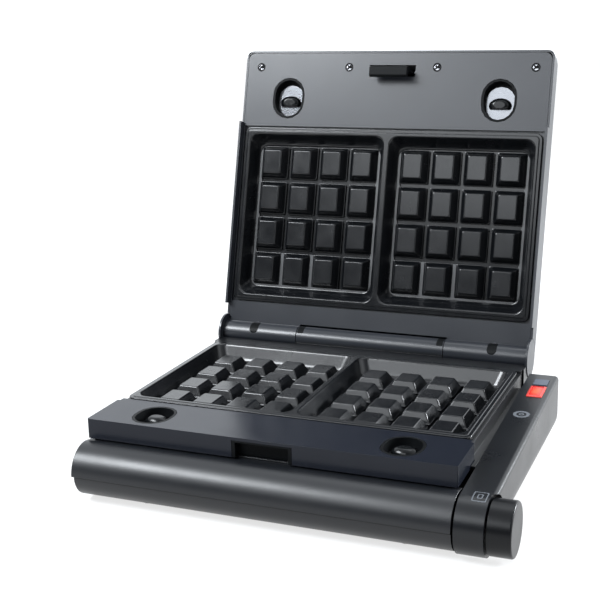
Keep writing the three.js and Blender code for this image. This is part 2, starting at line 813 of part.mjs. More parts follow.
// Ring that carries the lower reflector, with the bosses for the pan's screws
function shelf() {
  const inner = bodyHalfWidth - bodyWall;
  const bottom = shelfTop - shelfThickness;
  const ringRear = plateRear + wellGap + bodyWall;
  const ring = cut(
    box(middleAndHalf(0, inner + bite), [ledgeDepth - bodyWall, ringRear], [bottom, shelfTop]),
    box(middleAndHalf(0, inner - shelfReach), [plateFront + shelfReach, plateRear - shelfReach],
      [bottom - cutOverrun, shelfTop + cutOverrun]));
  const bossBottom = panBottom + panWall + seatGap;
  const boreZs = [bossBottom - cutOverrun, panBottom + panScrewLength];
  const bosses = panScrewPlaces.map(([x, y]) => cut(
    cylinderZ(x, y, [bossBottom, bottom + bite], screwShankRadius + screwBossWall),
    cylinderZ(x, y, boreZs, screwShankRadius + seatGap, screwSteps)));
  return join(ring, ...bosses);
}

function rearDeck() {
  const deck = box([-rearDeckHalfWidth, rearDeckHalfWidth], [plateRear + wellGap, bodyRear], [-bodyWall, 0]);
  const corners = bothSides((side) => box(
    [side * bodyHalfWidth, side * (rearDeckHalfWidth + bite)],
    [plateRear, rearDeckStart], [-bodyWall - cutOverrun, cutOverrun]));
  return cut(deck, ...corners);
}

// Round troughs in the deck, in which the lid's barrels and cheeks turn
function hingeTroughs() {
  const inner = barrelSplit - seatGap;
  const outer = rearDeckHalfWidth + cutOverrun;
  return bothSides((side) => join(
    cylinderX([side * inner, side * outer], hingeY, hingeZ, troughRadius),
    cylinderX([side * (lidHalfWidth - lidWall - runningGap), side * outer], hingeY, hingeZ,
      lidRearRadius + runningGap)));
}

function troughSkin() {
  const skinRadius = troughRadius + bodyWall;
  const width = [-rearDeckHalfWidth, rearDeckHalfWidth];
  const wider = middleAndHalf(0, rearDeckHalfWidth + bite);
  return cut(
    cylinderX(width, hingeY, hingeZ, skinRadius),
    box(wider, [bodyRear, hingeY + skinRadius + cutOverrun], middleAndHalf(hingeZ, skinRadius + cutOverrun)),
    box(wider, [hingeY - skinRadius - cutOverrun, bodyRear + bite], [0, hingeZ + skinRadius + cutOverrun]));
}

function middleBarrel() {
  const width = middleAndHalf(0, barrelSplit - seatGap);
  const skinRadius = troughRadius + bodyWall;
  return join(
    cylinderX(width, hingeY, hingeZ, barrelRadius),
    box(width, [hingeY - skinRadius, hingeY], [hingeZ - skinRadius, 0]));
}

function pinBores(inner, outer) {
  return bothSides((side) => cylinderX([side * inner, side * outer], hingeY, hingeZ, pinRadius + seatGap,
    smallSteps));
}

function baseHousing() {
  const rimSeat = lowerRimTop - rimThickness - seatGap;
  const channelZs = [channelTop - channelThickness, channelTop];
  const channelRight = housingLeft - seatGap;
  const channel = join(
    box([bodyHalfWidth - bodyWall, channelRight], [ledgeSideDepth + seatGap, channelRear], channelZs),
    box([ledgeWidth / 2 + seatGap, channelRight], [channelFront, ledgeSideDepth + bite], channelZs));
  const underLedge = box(middleAndHalf(0, bodyHalfWidth + bite), [0, ledgeDepth + seatGap],
    [-bodyWall - seatGap, cutOverrun]);
  const keeperSeat = box(middleAndHalf(0, keeperHalfWidth + seatGap), [0, keeperRear + seatGap],
    [-ledgeFace - seatGap, cutOverrun]);
  const shell = cut(
    join(bodyWalls(rimSeat), wellWalls(rimSeat), shelf(), rearDeck(), troughSkin(), channel),
    underLedge, keeperSeat, ...hingeTroughs());
  const barrel = cut(middleBarrel(), ...pinBores(pinInner - seatGap, barrelSplit + bite));
  return cut(join(shell, barrel),
    ...bothSides((side) => join(cupHole(side, 0, -1), noseWindow(side, 0, -1))));
}

// Control housing. Its top slopes up from the tube's round end to its rear.

const housingSlope = (housingRearTop - tubeAxisZ - tubeRadius) / (housingRear - tubeAxisY);

function housingTopAt(y) {
  return housingRearTop - (housingRear - y) * housingSlope;
}

function controlForm(inset) {
  const radius = tubeRadius - inset;
  const left = housingLeft + inset;
  const right = housingRight - inset;
  const bottom = panBottom + inset;
  const tangentDegrees = 90 + THREE.MathUtils.radToDeg(Math.atan(housingSlope));
  const profile = [
    [housingRear - inset, housingRearTop - inset],
    ...arc(tubeAxisY, tubeAxisZ, radius, tangentDegrees, 270, 18),
    [housingRear - inset, bottom],
  ];
  const lowCorner = housingLowCorner - inset;
  const section = [
    [left, bottom],
    ...arc(right - lowCorner, bottom + lowCorner, lowCorner, 270, 360, 8),
    [right, tubeRadius],
    [left, tubeRadius],
  ];
  const reach = [tubeAxisY - tubeRadius - cutOverrun, housingRear + cutOverrun];
  const roundedFoot = join(
    prismY(section, [tubeAxisY, housingRear + cutOverrun]),
    box([left, right], [reach[0], tubeAxisY + bite], [tubeAxisZ - tubeRadius - cutOverrun, tubeRadius]));
  const edge = housingTopEdge - inset;
  const low = housingTopAt(0) - inset;
  const roundedTop = prismY([
    [left - bite, low - 2 * tubeRadius - housingLowCorner],
    [right, low - 2 * tubeRadius - housingLowCorner],
    ...arc(right - edge, low - edge, edge, 0, 90, 4),
    [left - bite, low],
  ], reach, housingSlope);
  return prismX(profile, [left, right]).intersect(roundedFoot).intersect(roundedTop);
}

// A block along the housing's sloping top, from the given depth to the given height.
function topBlock(xs, [y0, y1], depth, proud) {
  return prismX([
    [y0, housingTopAt(y0) - depth],
    [y1, housingTopAt(y1) - depth],
    [y1, housingTopAt(y1) + proud],
    [y0, housingTopAt(y0) + proud],
  ], xs);
}

function lampWindow(front, length) {
  return topBlock([lampLeft - seatGap, lampLeft + lampWidth + seatGap],
    [front - seatGap, front + length + seatGap], housingWall + cutOverrun, cutOverrun);
}

function lampLens(front, length) {
  return topBlock([lampLeft, lampLeft + lampWidth], [front, front + length], lampDepth, lampProud);
}

function lampHolder() {
  const top = lampDepth + seatGap;
  return topBlock([housingLeft + housingWall + seatGap, lampLeft + lampWidth],
    [redLampFront - lampHolderMargin, greyLampFront + greyLampLength + lampHolderMargin],
    top + lampHolderDepth, -top);
}

const hatchLeft = housingLeft + hatchInset;
const hatchYs = [hatchEndGap, housingRear - hatchEndGap];

function controlHousing() {
  const pocketRadius = tubeRadius + knobPocketGap;
  const outer = controlForm(0);
  const pocketWall = cylinderX([housingEnd - housingWall, housingRight], tubeAxisY, tubeAxisZ,
    pocketRadius + housingWall).intersect(outer);
  const pocket = cylinderX([housingEnd, housingRight + cutOverrun], tubeAxisY, tubeAxisZ, pocketRadius);
  const nose = box([housingEnd, housingRight + cutOverrun], [tubeAxisY - 2 * tubeRadius, tubeAxisY],
    [panBottom - tubeRadius, tubeRadius]);
  const shaftHole = cylinderX([housingEnd - housingWall - bite, housingRight], tubeAxisY, tubeAxisZ,
    shaftRadius + seatGap, smallSteps);
  const hatch = box([hatchLeft, hatchLeft + hatchWidth], hatchYs,
    [panBottom - cutOverrun, panBottom + housingWall + cutOverrun]);
  return cut(join(cut(outer, controlForm(housingWall)), pocketWall), pocket, nose, shaftHole, hatch,
    lampWindow(redLampFront, redLampLength), lampWindow(greyLampFront, greyLampLength));
}

function controlHatch() {
  return box([hatchLeft + seatGap, hatchLeft + hatchWidth - seatGap],
    [hatchYs[0] + seatGap, hatchYs[1] - seatGap], [panBottom, panBottom + housingWall]);
}

// Knob, shaft and thermostat

function knob() {
  const rim = knobRadius - knobEdge;
  const bore = shaftRadius + seatGap;
  const floor = knobRight - knobWall;
  const outside = arc(rim, knobRight - knobEdge, knobEdge, 0, 90, 3);
  const profile = [
    [0, floor], [bore, floor], [bore, knobLeft + seatGap], [knobHubRadius, knobLeft + seatGap],
    [knobHubRadius, floor], [knobRadius - knobWall, floor], [knobRadius - knobWall, knobLeft],
    [knobRadius, knobLeft], ...outside, [0, knobRight],
  ].map(([radius, x]) => new THREE.Vector2(radius, x));
  const geometry = new THREE.LatheGeometry(profile, wideSteps + cornerSteps * 2);
  geometry.rotateZ(-Math.PI / 2);
  geometry.translate(0, tubeAxisY, tubeAxisZ);
  return toSolid(geometry);
}

function knobShaft() {
  return cylinderX([shaftLeft, knobRight - knobWall - seatGap], tubeAxisY, tubeAxisZ, shaftRadius, smallSteps);
}

function thermostat() {
  const right = housingEnd - housingWall - seatGap;
  const body = box([housingLeft + housingWall + seatGap, right],
    middleAndHalf(tubeAxisY, thermostatSize / 2), middleAndHalf(tubeAxisZ, thermostatSize / 2));
  return cut(body, cylinderX([shaftLeft - seatGap, right + cutOverrun], tubeAxisY, tubeAxisZ,
    shaftRadius + seatGap, smallSteps));
}

// Lid, as closed

const frameEdge = lidHalfWidth - lidWall - seatGap;
const lidLevelShares = [0, 0.3, 0.53, 0.74, 0.88, 0.965];
const lidRoundSteps = 5;

function lidForm(inset) {
  const turn = lidBack - lidSideTop;
  const last = lidLevelShares.length + lidRoundSteps - 1;
  const ring = (index, z, roundOff, rear) => ({
    z,
    points: roundedRing(
      middleAndHalf(0, lidHalfWidth - inset - roundOff),
      [lidFront + inset + roundOff, rear - inset],
      lidCorner + lidCornerGrowth * index / last - inset),
  });
  const upright = lidLevelShares.map((share, index) => {
    const z = lidFace + (lidSideTop - lidFace) * share;
    const height = Math.max(z - hingeZ, 0);
    return ring(index, z, 0, hingeY + Math.sqrt(Math.max(lidRearRadius ** 2 - height ** 2, 0)));
  });
  const rounded = [];
  for (let i = 1; i <= lidRoundSteps; i += 1) {
    const angle = i / lidRoundSteps * Math.PI / 2;
    const roundOff = (turn - inset) * (1 - Math.cos(angle));
    const rear = hingeY - roundOff - lidBackSlope * i / lidRoundSteps;
    rounded.push(ring(upright.length - 1 + i, lidSideTop + (turn - inset) * Math.sin(angle), roundOff, rear));
  }
  return loft([...upright, ...rounded]);
}

function lidBosses() {
  const radius = screwShankRadius + screwBossWall;
  const lipStart = lidFace + lidPlateThickness + seatGap;
  const hingeStart = hingeZ + barrelRadius + seatGap;
  const solid = join(
    ...lipScrewPlaces.map((x) => cylinderZ(x, lipScrewY, [lipStart, lidBack], radius)),
    ...bothSides((side) => cylinderZ(side * hingeScrewX, hingeScrewY, [hingeStart, lidBack], radius)));
  const bore = screwShankRadius + seatGap;
  const holes = [
    ...lipScrewPlaces.map((x) => cylinderZ(x, lipScrewY,
      [lipStart - cutOverrun, lidFace + lipScrewLength + cutOverrun], bore, screwSteps)),
    ...bothSides((side) => cylinderZ(side * hingeScrewX, hingeScrewY,
      [hingeStart - cutOverrun, lidFace + hingeScrewLength], bore, screwSteps)),
  ];
  return cut(solid, ...holes).intersect(lidForm(lidWall / 2));
}

function lidCover() {
  const inner = lidHalfWidth - lidWall;
  const hollow = join(lidForm(lidWall),
    box([-inner, inner], [lidFront + lidWall, hingeY], [lidFace - cutOverrun, lidFace + bite]));
  const skirts = bothSides((side) => box([side * inner, side * lidHalfWidth], [skirtFront, skirtRear],
    [lidFace - skirtDrop, lidFace + bite]));
  const cheekSeats = bothSides((side) => cylinderX([side * frameEdge, side * (lidHalfWidth + cutOverrun)],
    hingeY, hingeZ, lidRearRadius + seatGap));
  const behind = hingeY + lidRearRadius + cutOverrun;
  const barrelNotch = box(middleAndHalf(0, barrelSplit + runningGap), [bandRear, behind],
    [lidFace - cutOverrun, hingeZ + lidRearRadius - lidWall]);
  const rearTrim = box([-inner, inner], [hingeY + barrelRadius / 2, behind],
    [lidFace - cutOverrun, lidFace + lidWall]);
  return join(cut(lidForm(0), hollow, barrelNotch, rearTrim, ...cheekSeats), ...skirts, lidBosses());
}

// Round side plate of the lid at its hinge
function hingeCheek(side) {
  return cylinderX([side * (lidHalfWidth - lidWall), side * lidHalfWidth], hingeY, hingeZ, lidRearRadius);
}

// Flat inner frame of the lid, with the outer hinge barrels

const frameTop = lidFace + lidPlateThickness;

function outerBarrels() {
  return bothSides((side) => {
    const xs = [side * (barrelSplit + seatGap), side * frameEdge];
    return join(
      cylinderX(xs, hingeY, hingeZ, barrelRadius),
      box(xs, [bandRear - bite, hingeY], [lidFace, hingeZ + barrelRadius]));
  });
}

// Walls round the upper plate's well, and the ring that the plate's rim lies against
function lidWell() {
  const half = plateWidth / 2 + wellGap;
  const seat = upperRimFace + rimThickness + seatGap;
  const ring = cut(
    box([-frameEdge, frameEdge], [lipRear - bodyWall, bandFront + bodyWall], [seat, seat + lidSeatThickness]),
    box(middleAndHalf(0, plateWidth / 2 - bodyWall), [plateFront + bodyWall, plateRear - bodyWall],
      [seat - cutOverrun, seat + lidSeatThickness + cutOverrun]));
  return join(ring,
    box([-half, half], [lipRear - bodyWall, lipRear], [lidFace, lidFace + lidWellHeight]),
    box([-half, half], [bandFront, bandFront + bodyWall], [lidFace, lidFace + lidWellHeight]));
}

function latchHangers() {
  return bothSides((side) => box([side * (slotHalfWidth + seatGap), side * (slotHalfWidth + hangerWall)],
    [slotFront, slotRear + hangerWall], [lidFace, hangerTop]));
}

function lidScrewHoles() {
  const bore = screwShankRadius + seatGap;
  const through = [lidFace - cutOverrun, hingeZ + barrelRadius + cutOverrun];
  const headZs = [lidFace - cutOverrun, lidFace + screwHeadHeight + seatGap];
  return [
    ...lipScrewPlaces.flatMap((x) => [
      cylinderZ(x, lipScrewY, headZs, screwHeadRadius + seatGap),
      cylinderZ(x, lipScrewY, through, bore, screwSteps)]),
    ...bothSides((side) => join(
      cylinderZ(side * hingeScrewX, hingeScrewY, [hingeZ - barrelRadius, lidFace], hingeScrewHead + seatGap),
      cylinderZ(side * hingeScrewX, hingeScrewY, through, bore, screwSteps))),
  ];
}

function lidFrame() {
  const sheet = roundedSlab([-frameEdge, frameEdge], [lidFront + lidWall + seatGap, bandRear],
    [lidFace, frameTop], lidCorner);
  const wellHalf = plateWidth / 2 + wellGap;
  const through = [lidFace - cutOverrun, frameTop + cutOverrun];
  const opening = box([-wellHalf, wellHalf], [lipRear, bandFront], [lidFace - cutOverrun, frameTop]);
  const slot = box([-slotHalfWidth, slotHalfWidth], [slotFront, slotRear], through);
  const pinHole = cylinderX(middleAndHalf(0, slotHalfWidth + hangerWall + bite), latchPinY, latchPinZ,
    latchPinRadius + seatGap, smallSteps);
  const hollows = bothSides((side) => join(cupHole(side, lidFace, 1), noseWindow(side, lidFace, 1)));
  const body = join(cut(sheet, opening), lidWell(), ...outerBarrels(), ...latchHangers());
  const bores = pinBores(barrelSplit, pinOuter + seatGap);
  return cut(body, ...bores, ...lidScrewHoles(), slot, pinHole, ...hollows);
}

// Latch

const latchPinY = hookFront + hookStem / 2;

function latchHook() {
  const rear = hookFront + hookStem;
  const bottom = lidFace - hookDrop;
  const width = [-hookHalfWidth, hookHalfWidth];
  const blade = prismX([
    [hookFront, bottom + toothLead], [hookFront + toothLead, bottom], [toothReach - toothLead, bottom],
    [toothReach, bottom + toothLead], [toothReach, bottom + toothHeight - toothLead],
    [toothReach - toothLead, bottom + toothHeight], [rear, bottom + toothHeight],
    [rear, latchPinZ], [hookFront, latchPinZ],
  ], width);
  const hub = cylinderX(width, latchPinY, latchPinZ, hookHubRadius, smallSteps);
  const bore = cylinderX(middleAndHalf(0, hookHalfWidth + cutOverrun), latchPinY, latchPinZ,
    latchPinRadius + seatGap, smallSteps);
  return cut(join(blade, hub), bore);
}

function latchPin() {
  return cylinderX(middleAndHalf(0, slotHalfWidth + hangerWall - seatGap), latchPinY, latchPinZ,
    latchPinRadius, smallSteps);
}

// Sleeve on the latch's pin, which stands for its wound spring
function latchSpring() {
  const left = hookHalfWidth + seatGap;
  const bore = latchPinRadius + seatGap;
  return cut(
    cylinderX([left, slotHalfWidth], latchPinY, latchPinZ, bore + latchSpringWall, smallSteps),
    cylinderX([left - bite, slotHalfWidth + bite], latchPinY, latchPinZ, bore, smallSteps));
}

function hingePin(side) {
  return cylinderX([side * pinInner, side * pinOuter], hingeY, hingeZ, pinRadius, smallSteps);
}

// Mains inlet

function cordGland() {
  const z = splitHeight - glandDrop;
  const face = bodyRear + seatGap;
  return cut(
    join(
      cylinderY(glandX, [face, face + glandFlangeDepth], z, glandFlangeRadius),
      cylinderY(glandX, [bodyRear - panRearCorner / 2, face + glandSleeveLength], z, glandSleeveRadius)),
    cylinderY(glandX, [bodyRear - panRearCorner, face + glandSleeveLength + cutOverrun], z, cordRadius));
}

function terminalBlock() {
  const floor = panBottom + panWall + seatGap;
  return box(middleAndHalf(terminalX, terminalWidth / 2), middleAndHalf(terminalY, terminalDepth / 2),
    [floor, floor + terminalHeight]);
}

// Assembly

const machine = new THREE.Group();
const base = new THREE.Group();
const lidPivot = new THREE.Group();
const lid = new THREE.Group();
machine.add(base, lidPivot);
lidPivot.position.set(0, hingeY, hingeZ);
lidPivot.rotation.x = -THREE.MathUtils.degToRad(openDegrees);
lidPivot.add(lid);
lid.position.set(0, -hingeY, -hingeZ);

function addPart(parent, name, solid, finish) {
  const mesh = new THREE.Mesh(toGeometry(solid), new THREE.MeshStandardMaterial(finish));
  mesh.name = name;
  parent.add(mesh);
}

addPart(base, 'base_pan', basePan(), finishes.anthracite);
addPart(base, 'base_housing', baseHousing(), finishes.anthracite);
addPart(base, 'ledge', ledge(), finishes.anthracite);
addPart(base, 'latch_keeper', latchKeeper(), finishes.blackPlastic);
addPart(base, 'tube_cover', tubeCover(), finishes.tubeSatin);
addPart(base, 'control_housing', controlHousing(), finishes.sideGrey);
addPart(base, 'control_hatch', controlHatch(), finishes.anthracite);
addPart(base, 'red_lamp_lens', lampLens(redLampFront, redLampLength), finishes.redLens);
addPart(base, 'grey_lamp_lens', lampLens(greyLampFront, greyLampLength), finishes.greyLens);
addPart(base, 'lamp_holder', lampHolder(), finishes.blackPlastic);
addPart(base, 'thermostat', thermostat(), finishes.blackPlastic);
addPart(base, 'knob_shaft', knobShaft(), finishes.steel);
addPart(base, 'knob', knob(), finishes.blackPlastic);
addPart(base, 'cord_gland', cordGland(), finishes.rubber);
addPart(base, 'terminal_block', terminalBlock(), finishes.blackPlastic);
addPart(base, 'foot_front_left', foot(frontFootLeftInset - bodyHalfWidth, frontFootY), finishes.rubber);
addPart(base, 'foot_front_right', foot(bodyHalfWidth - frontFootRightInset, frontFootY), finishes.rubber);
addPart(base, 'foot_rear_left', foot(rearFootLeftInset - bodyHalfWidth, rearFootY), finishes.rubber);
addPart(base, 'foot_rear_right', foot(housingLeft + rearFootHousingInset, rearFootY), finishes.rubber);
panScrewPlaces.forEach(([x, y], i) => {
  addPart(base, `pan_screw_${i + 1}`,
    screw(x, y, panBottom - screwHeadHeight - seatGap, 1, panScrewLength, screwHeadRadius), finishes.darkSteel);
});

addPart(lid, 'lid_cover', lidCover(), finishes.lidGrey);
addPart(lid, 'lid_frame', lidFrame(), finishes.lidGrey);

const lowerSet = [
  ['plate', cookingPlate(), finishes.nonStick],
  ['heater', heaterLoop(), finishes.darkSteel],
  ['reflector', reflectorTray(), finishes.aluminium],
];
for (const [name, solid, finish] of lowerSet) {
  addPart(base, `lower_${name}`, solid, finish);
  addPart(lid, `upper_${name}`, turnOver(solid, levelSum), finish);
}

const catchSets = [
  ['lower', base, 0, -1, ledgeDepth],
  ['upper', lid, lidFace, 1, lipRear],
];
for (const [level, group, faceZ, inward, wallRear] of catchSets) {
  for (const [hand, side] of [['left', -1], ['right', 1]]) {
    addPart(group, `${level}_catch_cup_${hand}`, catchCup(side, faceZ, inward), finishes.blackPlastic);
    addPart(group, `${level}_catch_${hand}`, catchSlide(side, faceZ, inward), finishes.steel);
    addPart(group, `${level}_catch_thumb_${hand}`, catchThumb(side, faceZ, inward), finishes.blackPlastic);
    addPart(group, `${level}_catch_spring_${hand}`, catchSpring(side, faceZ, inward, wallRear), finishes.steel);
  }
}

addPart(lid, 'latch_hook', latchHook(), finishes.blackPlastic);
addPart(lid, 'latch_pin', latchPin(), finishes.steel);
addPart(lid, 'latch_spring', latchSpring(), finishes.steel);

for (const [hand, side] of [['left', -1], ['right', 1]]) {
  addPart(base, `hinge_pin_${hand}`, hingePin(side), finishes.steel);
  addPart(lid, `hinge_cheek_${hand}`, hingeCheek(side), finishes.lidGrey);
  addPart(lid, `hinge_screw_${hand}`, screw(side * hingeScrewX, hingeScrewY,
    lidFace - screwHeadHeight - seatGap, 1, hingeScrewLength, hingeScrewHead), finishes.darkSteel);
}
lipScrewPlaces.forEach((x, i) => {
  addPart(lid, `lip_screw_${i + 1}`, screw(x, lipScrewY, lidFace, 1, lipScrewLength, screwHeadRadius),
    finishes.steel);
});

machine.updateMatrixWorld(true);
const bounds = new THREE.Box3().setFromObject(machine, true);
const centre = bounds.getCenter(new THREE.Vector3());
machine.position.set(-centre.x, -centre.y, -bounds.min.z);
machine.updateMatrixWorld(true);

export default machine;
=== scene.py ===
import json
import math

import bpy
import numpy as np
from mathutils import Matrix, Vector
from mathutils.bvhtree import BVHTree
from mathutils.geometry import tessellate_polygon


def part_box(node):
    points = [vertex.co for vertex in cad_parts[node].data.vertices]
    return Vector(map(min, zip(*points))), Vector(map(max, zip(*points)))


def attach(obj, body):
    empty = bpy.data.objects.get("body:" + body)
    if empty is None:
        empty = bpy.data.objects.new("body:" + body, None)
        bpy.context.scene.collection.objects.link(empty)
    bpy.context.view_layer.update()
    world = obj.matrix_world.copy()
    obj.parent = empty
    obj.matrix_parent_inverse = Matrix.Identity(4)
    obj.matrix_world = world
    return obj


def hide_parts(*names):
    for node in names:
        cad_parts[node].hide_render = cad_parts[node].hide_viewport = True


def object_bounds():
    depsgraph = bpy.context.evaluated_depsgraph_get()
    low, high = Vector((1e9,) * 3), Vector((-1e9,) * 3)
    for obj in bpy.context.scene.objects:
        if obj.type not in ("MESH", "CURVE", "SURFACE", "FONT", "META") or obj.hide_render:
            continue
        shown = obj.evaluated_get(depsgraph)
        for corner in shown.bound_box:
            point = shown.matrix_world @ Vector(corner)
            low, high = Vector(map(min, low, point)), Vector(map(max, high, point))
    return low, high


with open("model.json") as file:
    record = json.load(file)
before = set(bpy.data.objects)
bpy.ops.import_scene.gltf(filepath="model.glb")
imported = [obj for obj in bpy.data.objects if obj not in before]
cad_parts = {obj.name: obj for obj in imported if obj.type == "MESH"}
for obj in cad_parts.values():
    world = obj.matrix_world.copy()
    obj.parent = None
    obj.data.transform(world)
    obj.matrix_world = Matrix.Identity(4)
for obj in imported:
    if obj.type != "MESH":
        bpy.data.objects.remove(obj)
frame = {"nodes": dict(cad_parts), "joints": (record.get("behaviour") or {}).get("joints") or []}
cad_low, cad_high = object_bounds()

# Waffle iron with its lid open. Places are in metres, and MM is one millimetre. Forms are drawn in
# millimetres from the datum or from an axis, and get their place and scale when they are built.
MM = 0.001
NODES = frame["nodes"]
JOINTS = {joint["name"]: joint for joint in frame["joints"]}
SCENE = bpy.context.scene

# The datum is the middle of the ledge's top front edge, which the plate's front lies behind.
PLATE_LOW, PLATE_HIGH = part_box("lower_plate")
FOOT_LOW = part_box("foot_front_left")[0]
PLATE_SETBACK = 52.6 * MM
LEDGE_HEIGHT = 62.5 * MM
DATUM = Vector((
    (PLATE_LOW.x + PLATE_HIGH.x) / 2,
    PLATE_LOW.y - PLATE_SETBACK,
    FOOT_LOW.z + LEDGE_HEIGHT,
))

# The lid's pivot, and the turn that takes a closed lid to the open one
HINGE = Vector(JOINTS["lid_hinge"]["pos_m"])
OPEN_TURN = math.radians(JOINTS["lid_hinge"]["range_deg"][0])
OPEN_LID = (
    Matrix.Translation(HINGE) @ Matrix.Rotation(OPEN_TURN, 4, "X") @ Matrix.Translation(-HINGE)
)

# Pieces of the lid are drawn like those of the base. With the lid closed they are mirror images, so
# that the levels of two matching points have this sum. Then they open with the lid.
CLOSED_LEVEL_SUM = 3.0 * MM
MIRROR = (
    Matrix.Translation(DATUM + Vector((0, 0, CLOSED_LEVEL_SUM))) @ Matrix.Scale(-1, 4, (0, 0, 1))
)
IN_BASE = Matrix.Translation(DATUM)
IN_OPEN_LID = OPEN_LID @ MIRROR


# Mesh helpers

def new_object(name, mesh):
    piece = bpy.data.objects.new(name, mesh)
    SCENE.collection.objects.link(piece)
    return piece


def mesh_object(name, vertices, faces):
    mesh = bpy.data.meshes.new(name)
    mesh.from_pydata([tuple(v) for v in vertices], [], faces)
    mesh.validate()
    mesh.update()
    return new_object(name, mesh)


def shade_smooth(piece):
    piece.data.polygons.foreach_set("use_smooth", [True] * len(piece.data.polygons))


def set_material(piece, material):
    piece.data.materials.clear()
    piece.data.materials.append(material)


# Material helpers. Most values of a noise texture lie between NOISE_LOW and NOISE_HIGH. The sockets
# of a Mix node are given by number, since their names repeat.
NOISE_LOW = 0.3
NOISE_HIGH = 0.7
VARIATION_DETAIL = 5.0
GLOW_EDGE = 0.05
GLOW_CORE = 0.75
MIX_SHARE = 0
MIX_NUMBERS = (2, 3)
MIX_NUMBER_RESULT = 0
MIX_COLOURS = (6, 7)
MIX_COLOUR_RESULT = 2


class Shader:
    """A node material with one Principled shader, and helpers that add what feeds it."""

    def __init__(self, name, colour, roughness, metallic=0.0):
        self.material = bpy.data.materials.new(name)
        self.material.use_nodes = True
        self.tree = self.material.node_tree
        self.shader = self.tree.nodes["Principled BSDF"]
        self.shader.inputs["Base Color"].default_value = (*colour, 1)
        self.shader.inputs["Roughness"].default_value = roughness
        self.shader.inputs["Metallic"].default_value = metallic
        self.colour = colour
        self.roughness = roughness
        coordinates = self.tree.nodes.new("ShaderNodeTexCoord")
        self.place = coordinates.outputs["Object"]

    def set(self, **values):
        for name, value in values.items():
            self.shader.inputs[name.replace("_", " ")].default_value = value
        return self

    def stretched(self, scale):
        mapping = self.tree.nodes.new("ShaderNodeMapping")
        mapping.inputs["Scale"].default_value = scale
        self.tree.links.new(self.place, mapping.inputs["Vector"])
        return mapping.outputs["Vector"]

    def noise(self, scale, detail=4.0, stretch=None):
        node = self.tree.nodes.new("ShaderNodeTexNoise")
        node.inputs["Scale"].default_value = scale
        node.inputs["Detail"].default_value = detail
        source = self.stretched(stretch) if stretch else self.place
        self.tree.links.new(source, node.inputs["Vector"])
        return node.outputs["Fac"]

    def ramp(self, value, stops):
        node = self.tree.nodes.new("ShaderNodeValToRGB")
        elements = node.color_ramp.elements
        while len(elements) < len(stops):
            elements.new(0.5)
        for element, (position, colour) in zip(elements, stops):
            element.position = position
            element.color = (*colour, 1)
        self.tree.links.new(value, node.inputs["Fac"])
        return node.outputs["Color"]

    def spread(self, value, low, high):
        node = self.tree.nodes.new("ShaderNodeMapRange")
        node.inputs["From Min"].default_value = NOISE_LOW
        node.inputs["From Max"].default_value = NOISE_HIGH
        node.inputs["To Min"].default_value = low
        node.inputs["To Max"].default_value = high
        self.tree.links.new(value, node.inputs["Value"])
        return node.outputs["Result"]

    def vary_colour(self, scale, amount, stretch=None):
        dark = tuple(c * (1 - amount) for c in self.colour)
        light = tuple(min(1.0, c * (1 + amount)) for c in self.colour)
        value = self.noise(scale, VARIATION_DETAIL, stretch)
        colour = self.ramp(value, [(NOISE_LOW, dark), (NOISE_HIGH, light)])
        self.tree.links.new(colour, self.shader.inputs["Base Color"])
        return self

    def vary_roughness(self, scale, amount, stretch=None):
        value = self.noise(scale, VARIATION_DETAIL, stretch)
        value = self.spread(value, self.roughness - amount, self.roughness + amount)
        self.tree.links.new(value, self.shader.inputs["Roughness"])
        return self

    def recolour_above(self, low, high, colour):
        """Another colour above a height, which comes in between the two heights."""
        split = self.tree.nodes.new("ShaderNodeSeparateXYZ")
        self.tree.links.new(self.place, split.inputs["Vector"])
        share = self.tree.nodes.new("ShaderNodeMapRange")
        share.inputs["From Min"].default_value = low
        share.inputs["From Max"].default_value = high
        self.tree.links.new(split.outputs["Z"], share.inputs["Value"])
        mix = self.tree.nodes.new("ShaderNodeMix")
        mix.data_type = "RGBA"
        first, second = (mix.inputs[socket] for socket in MIX_COLOURS)
        base = self.shader.inputs["Base Color"]
        self.tree.links.new(share.outputs["Result"], mix.inputs[MIX_SHARE])
        self.tree.links.new(base.links[0].from_socket, first)
        second.default_value = (*colour, 1)
        self.tree.links.new(mix.outputs[MIX_COLOUR_RESULT], base)
        return self

    def bump(self, scale, height, strength=1.0, detail=2.0, stretch=None):
        node = self.tree.nodes.new("ShaderNodeBump")
        node.inputs["Strength"].default_value = strength
        node.inputs["Distance"].default_value = height
        self.tree.links.new(self.noise(scale, detail, stretch), node.inputs["Height"])
        self.tree.links.new(node.outputs["Normal"], self.shader.inputs["Normal"])
        return self

    def glow(self, middle, half, inner, outer, strength):
        """Light from inside that goes from the inner colour in the middle to the outer one."""
        mapping = self.tree.nodes.new("ShaderNodeMapping")
        mapping.inputs["Scale"].default_value = (1 / half.x, 1 / half.y, 0)
        mapping.inputs["Location"].default_value = (-middle.x / half.x, -middle.y / half.y, 0)
        self.tree.links.new(self.place, mapping.inputs["Vector"])
        gradient = self.tree.nodes.new("ShaderNodeTexGradient")
        gradient.gradient_type = "SPHERICAL"
        self.tree.links.new(mapping.outputs["Vector"], gradient.inputs["Vector"])
        colour = self.ramp(gradient.outputs["Fac"], [(GLOW_EDGE, outer), (GLOW_CORE, inner)])
        self.tree.links.new(colour, self.shader.inputs["Base Color"])
        self.tree.links.new(colour, self.shader.inputs["Emission Color"])
        self.shader.inputs["Emission Strength"].default_value = strength
        return self


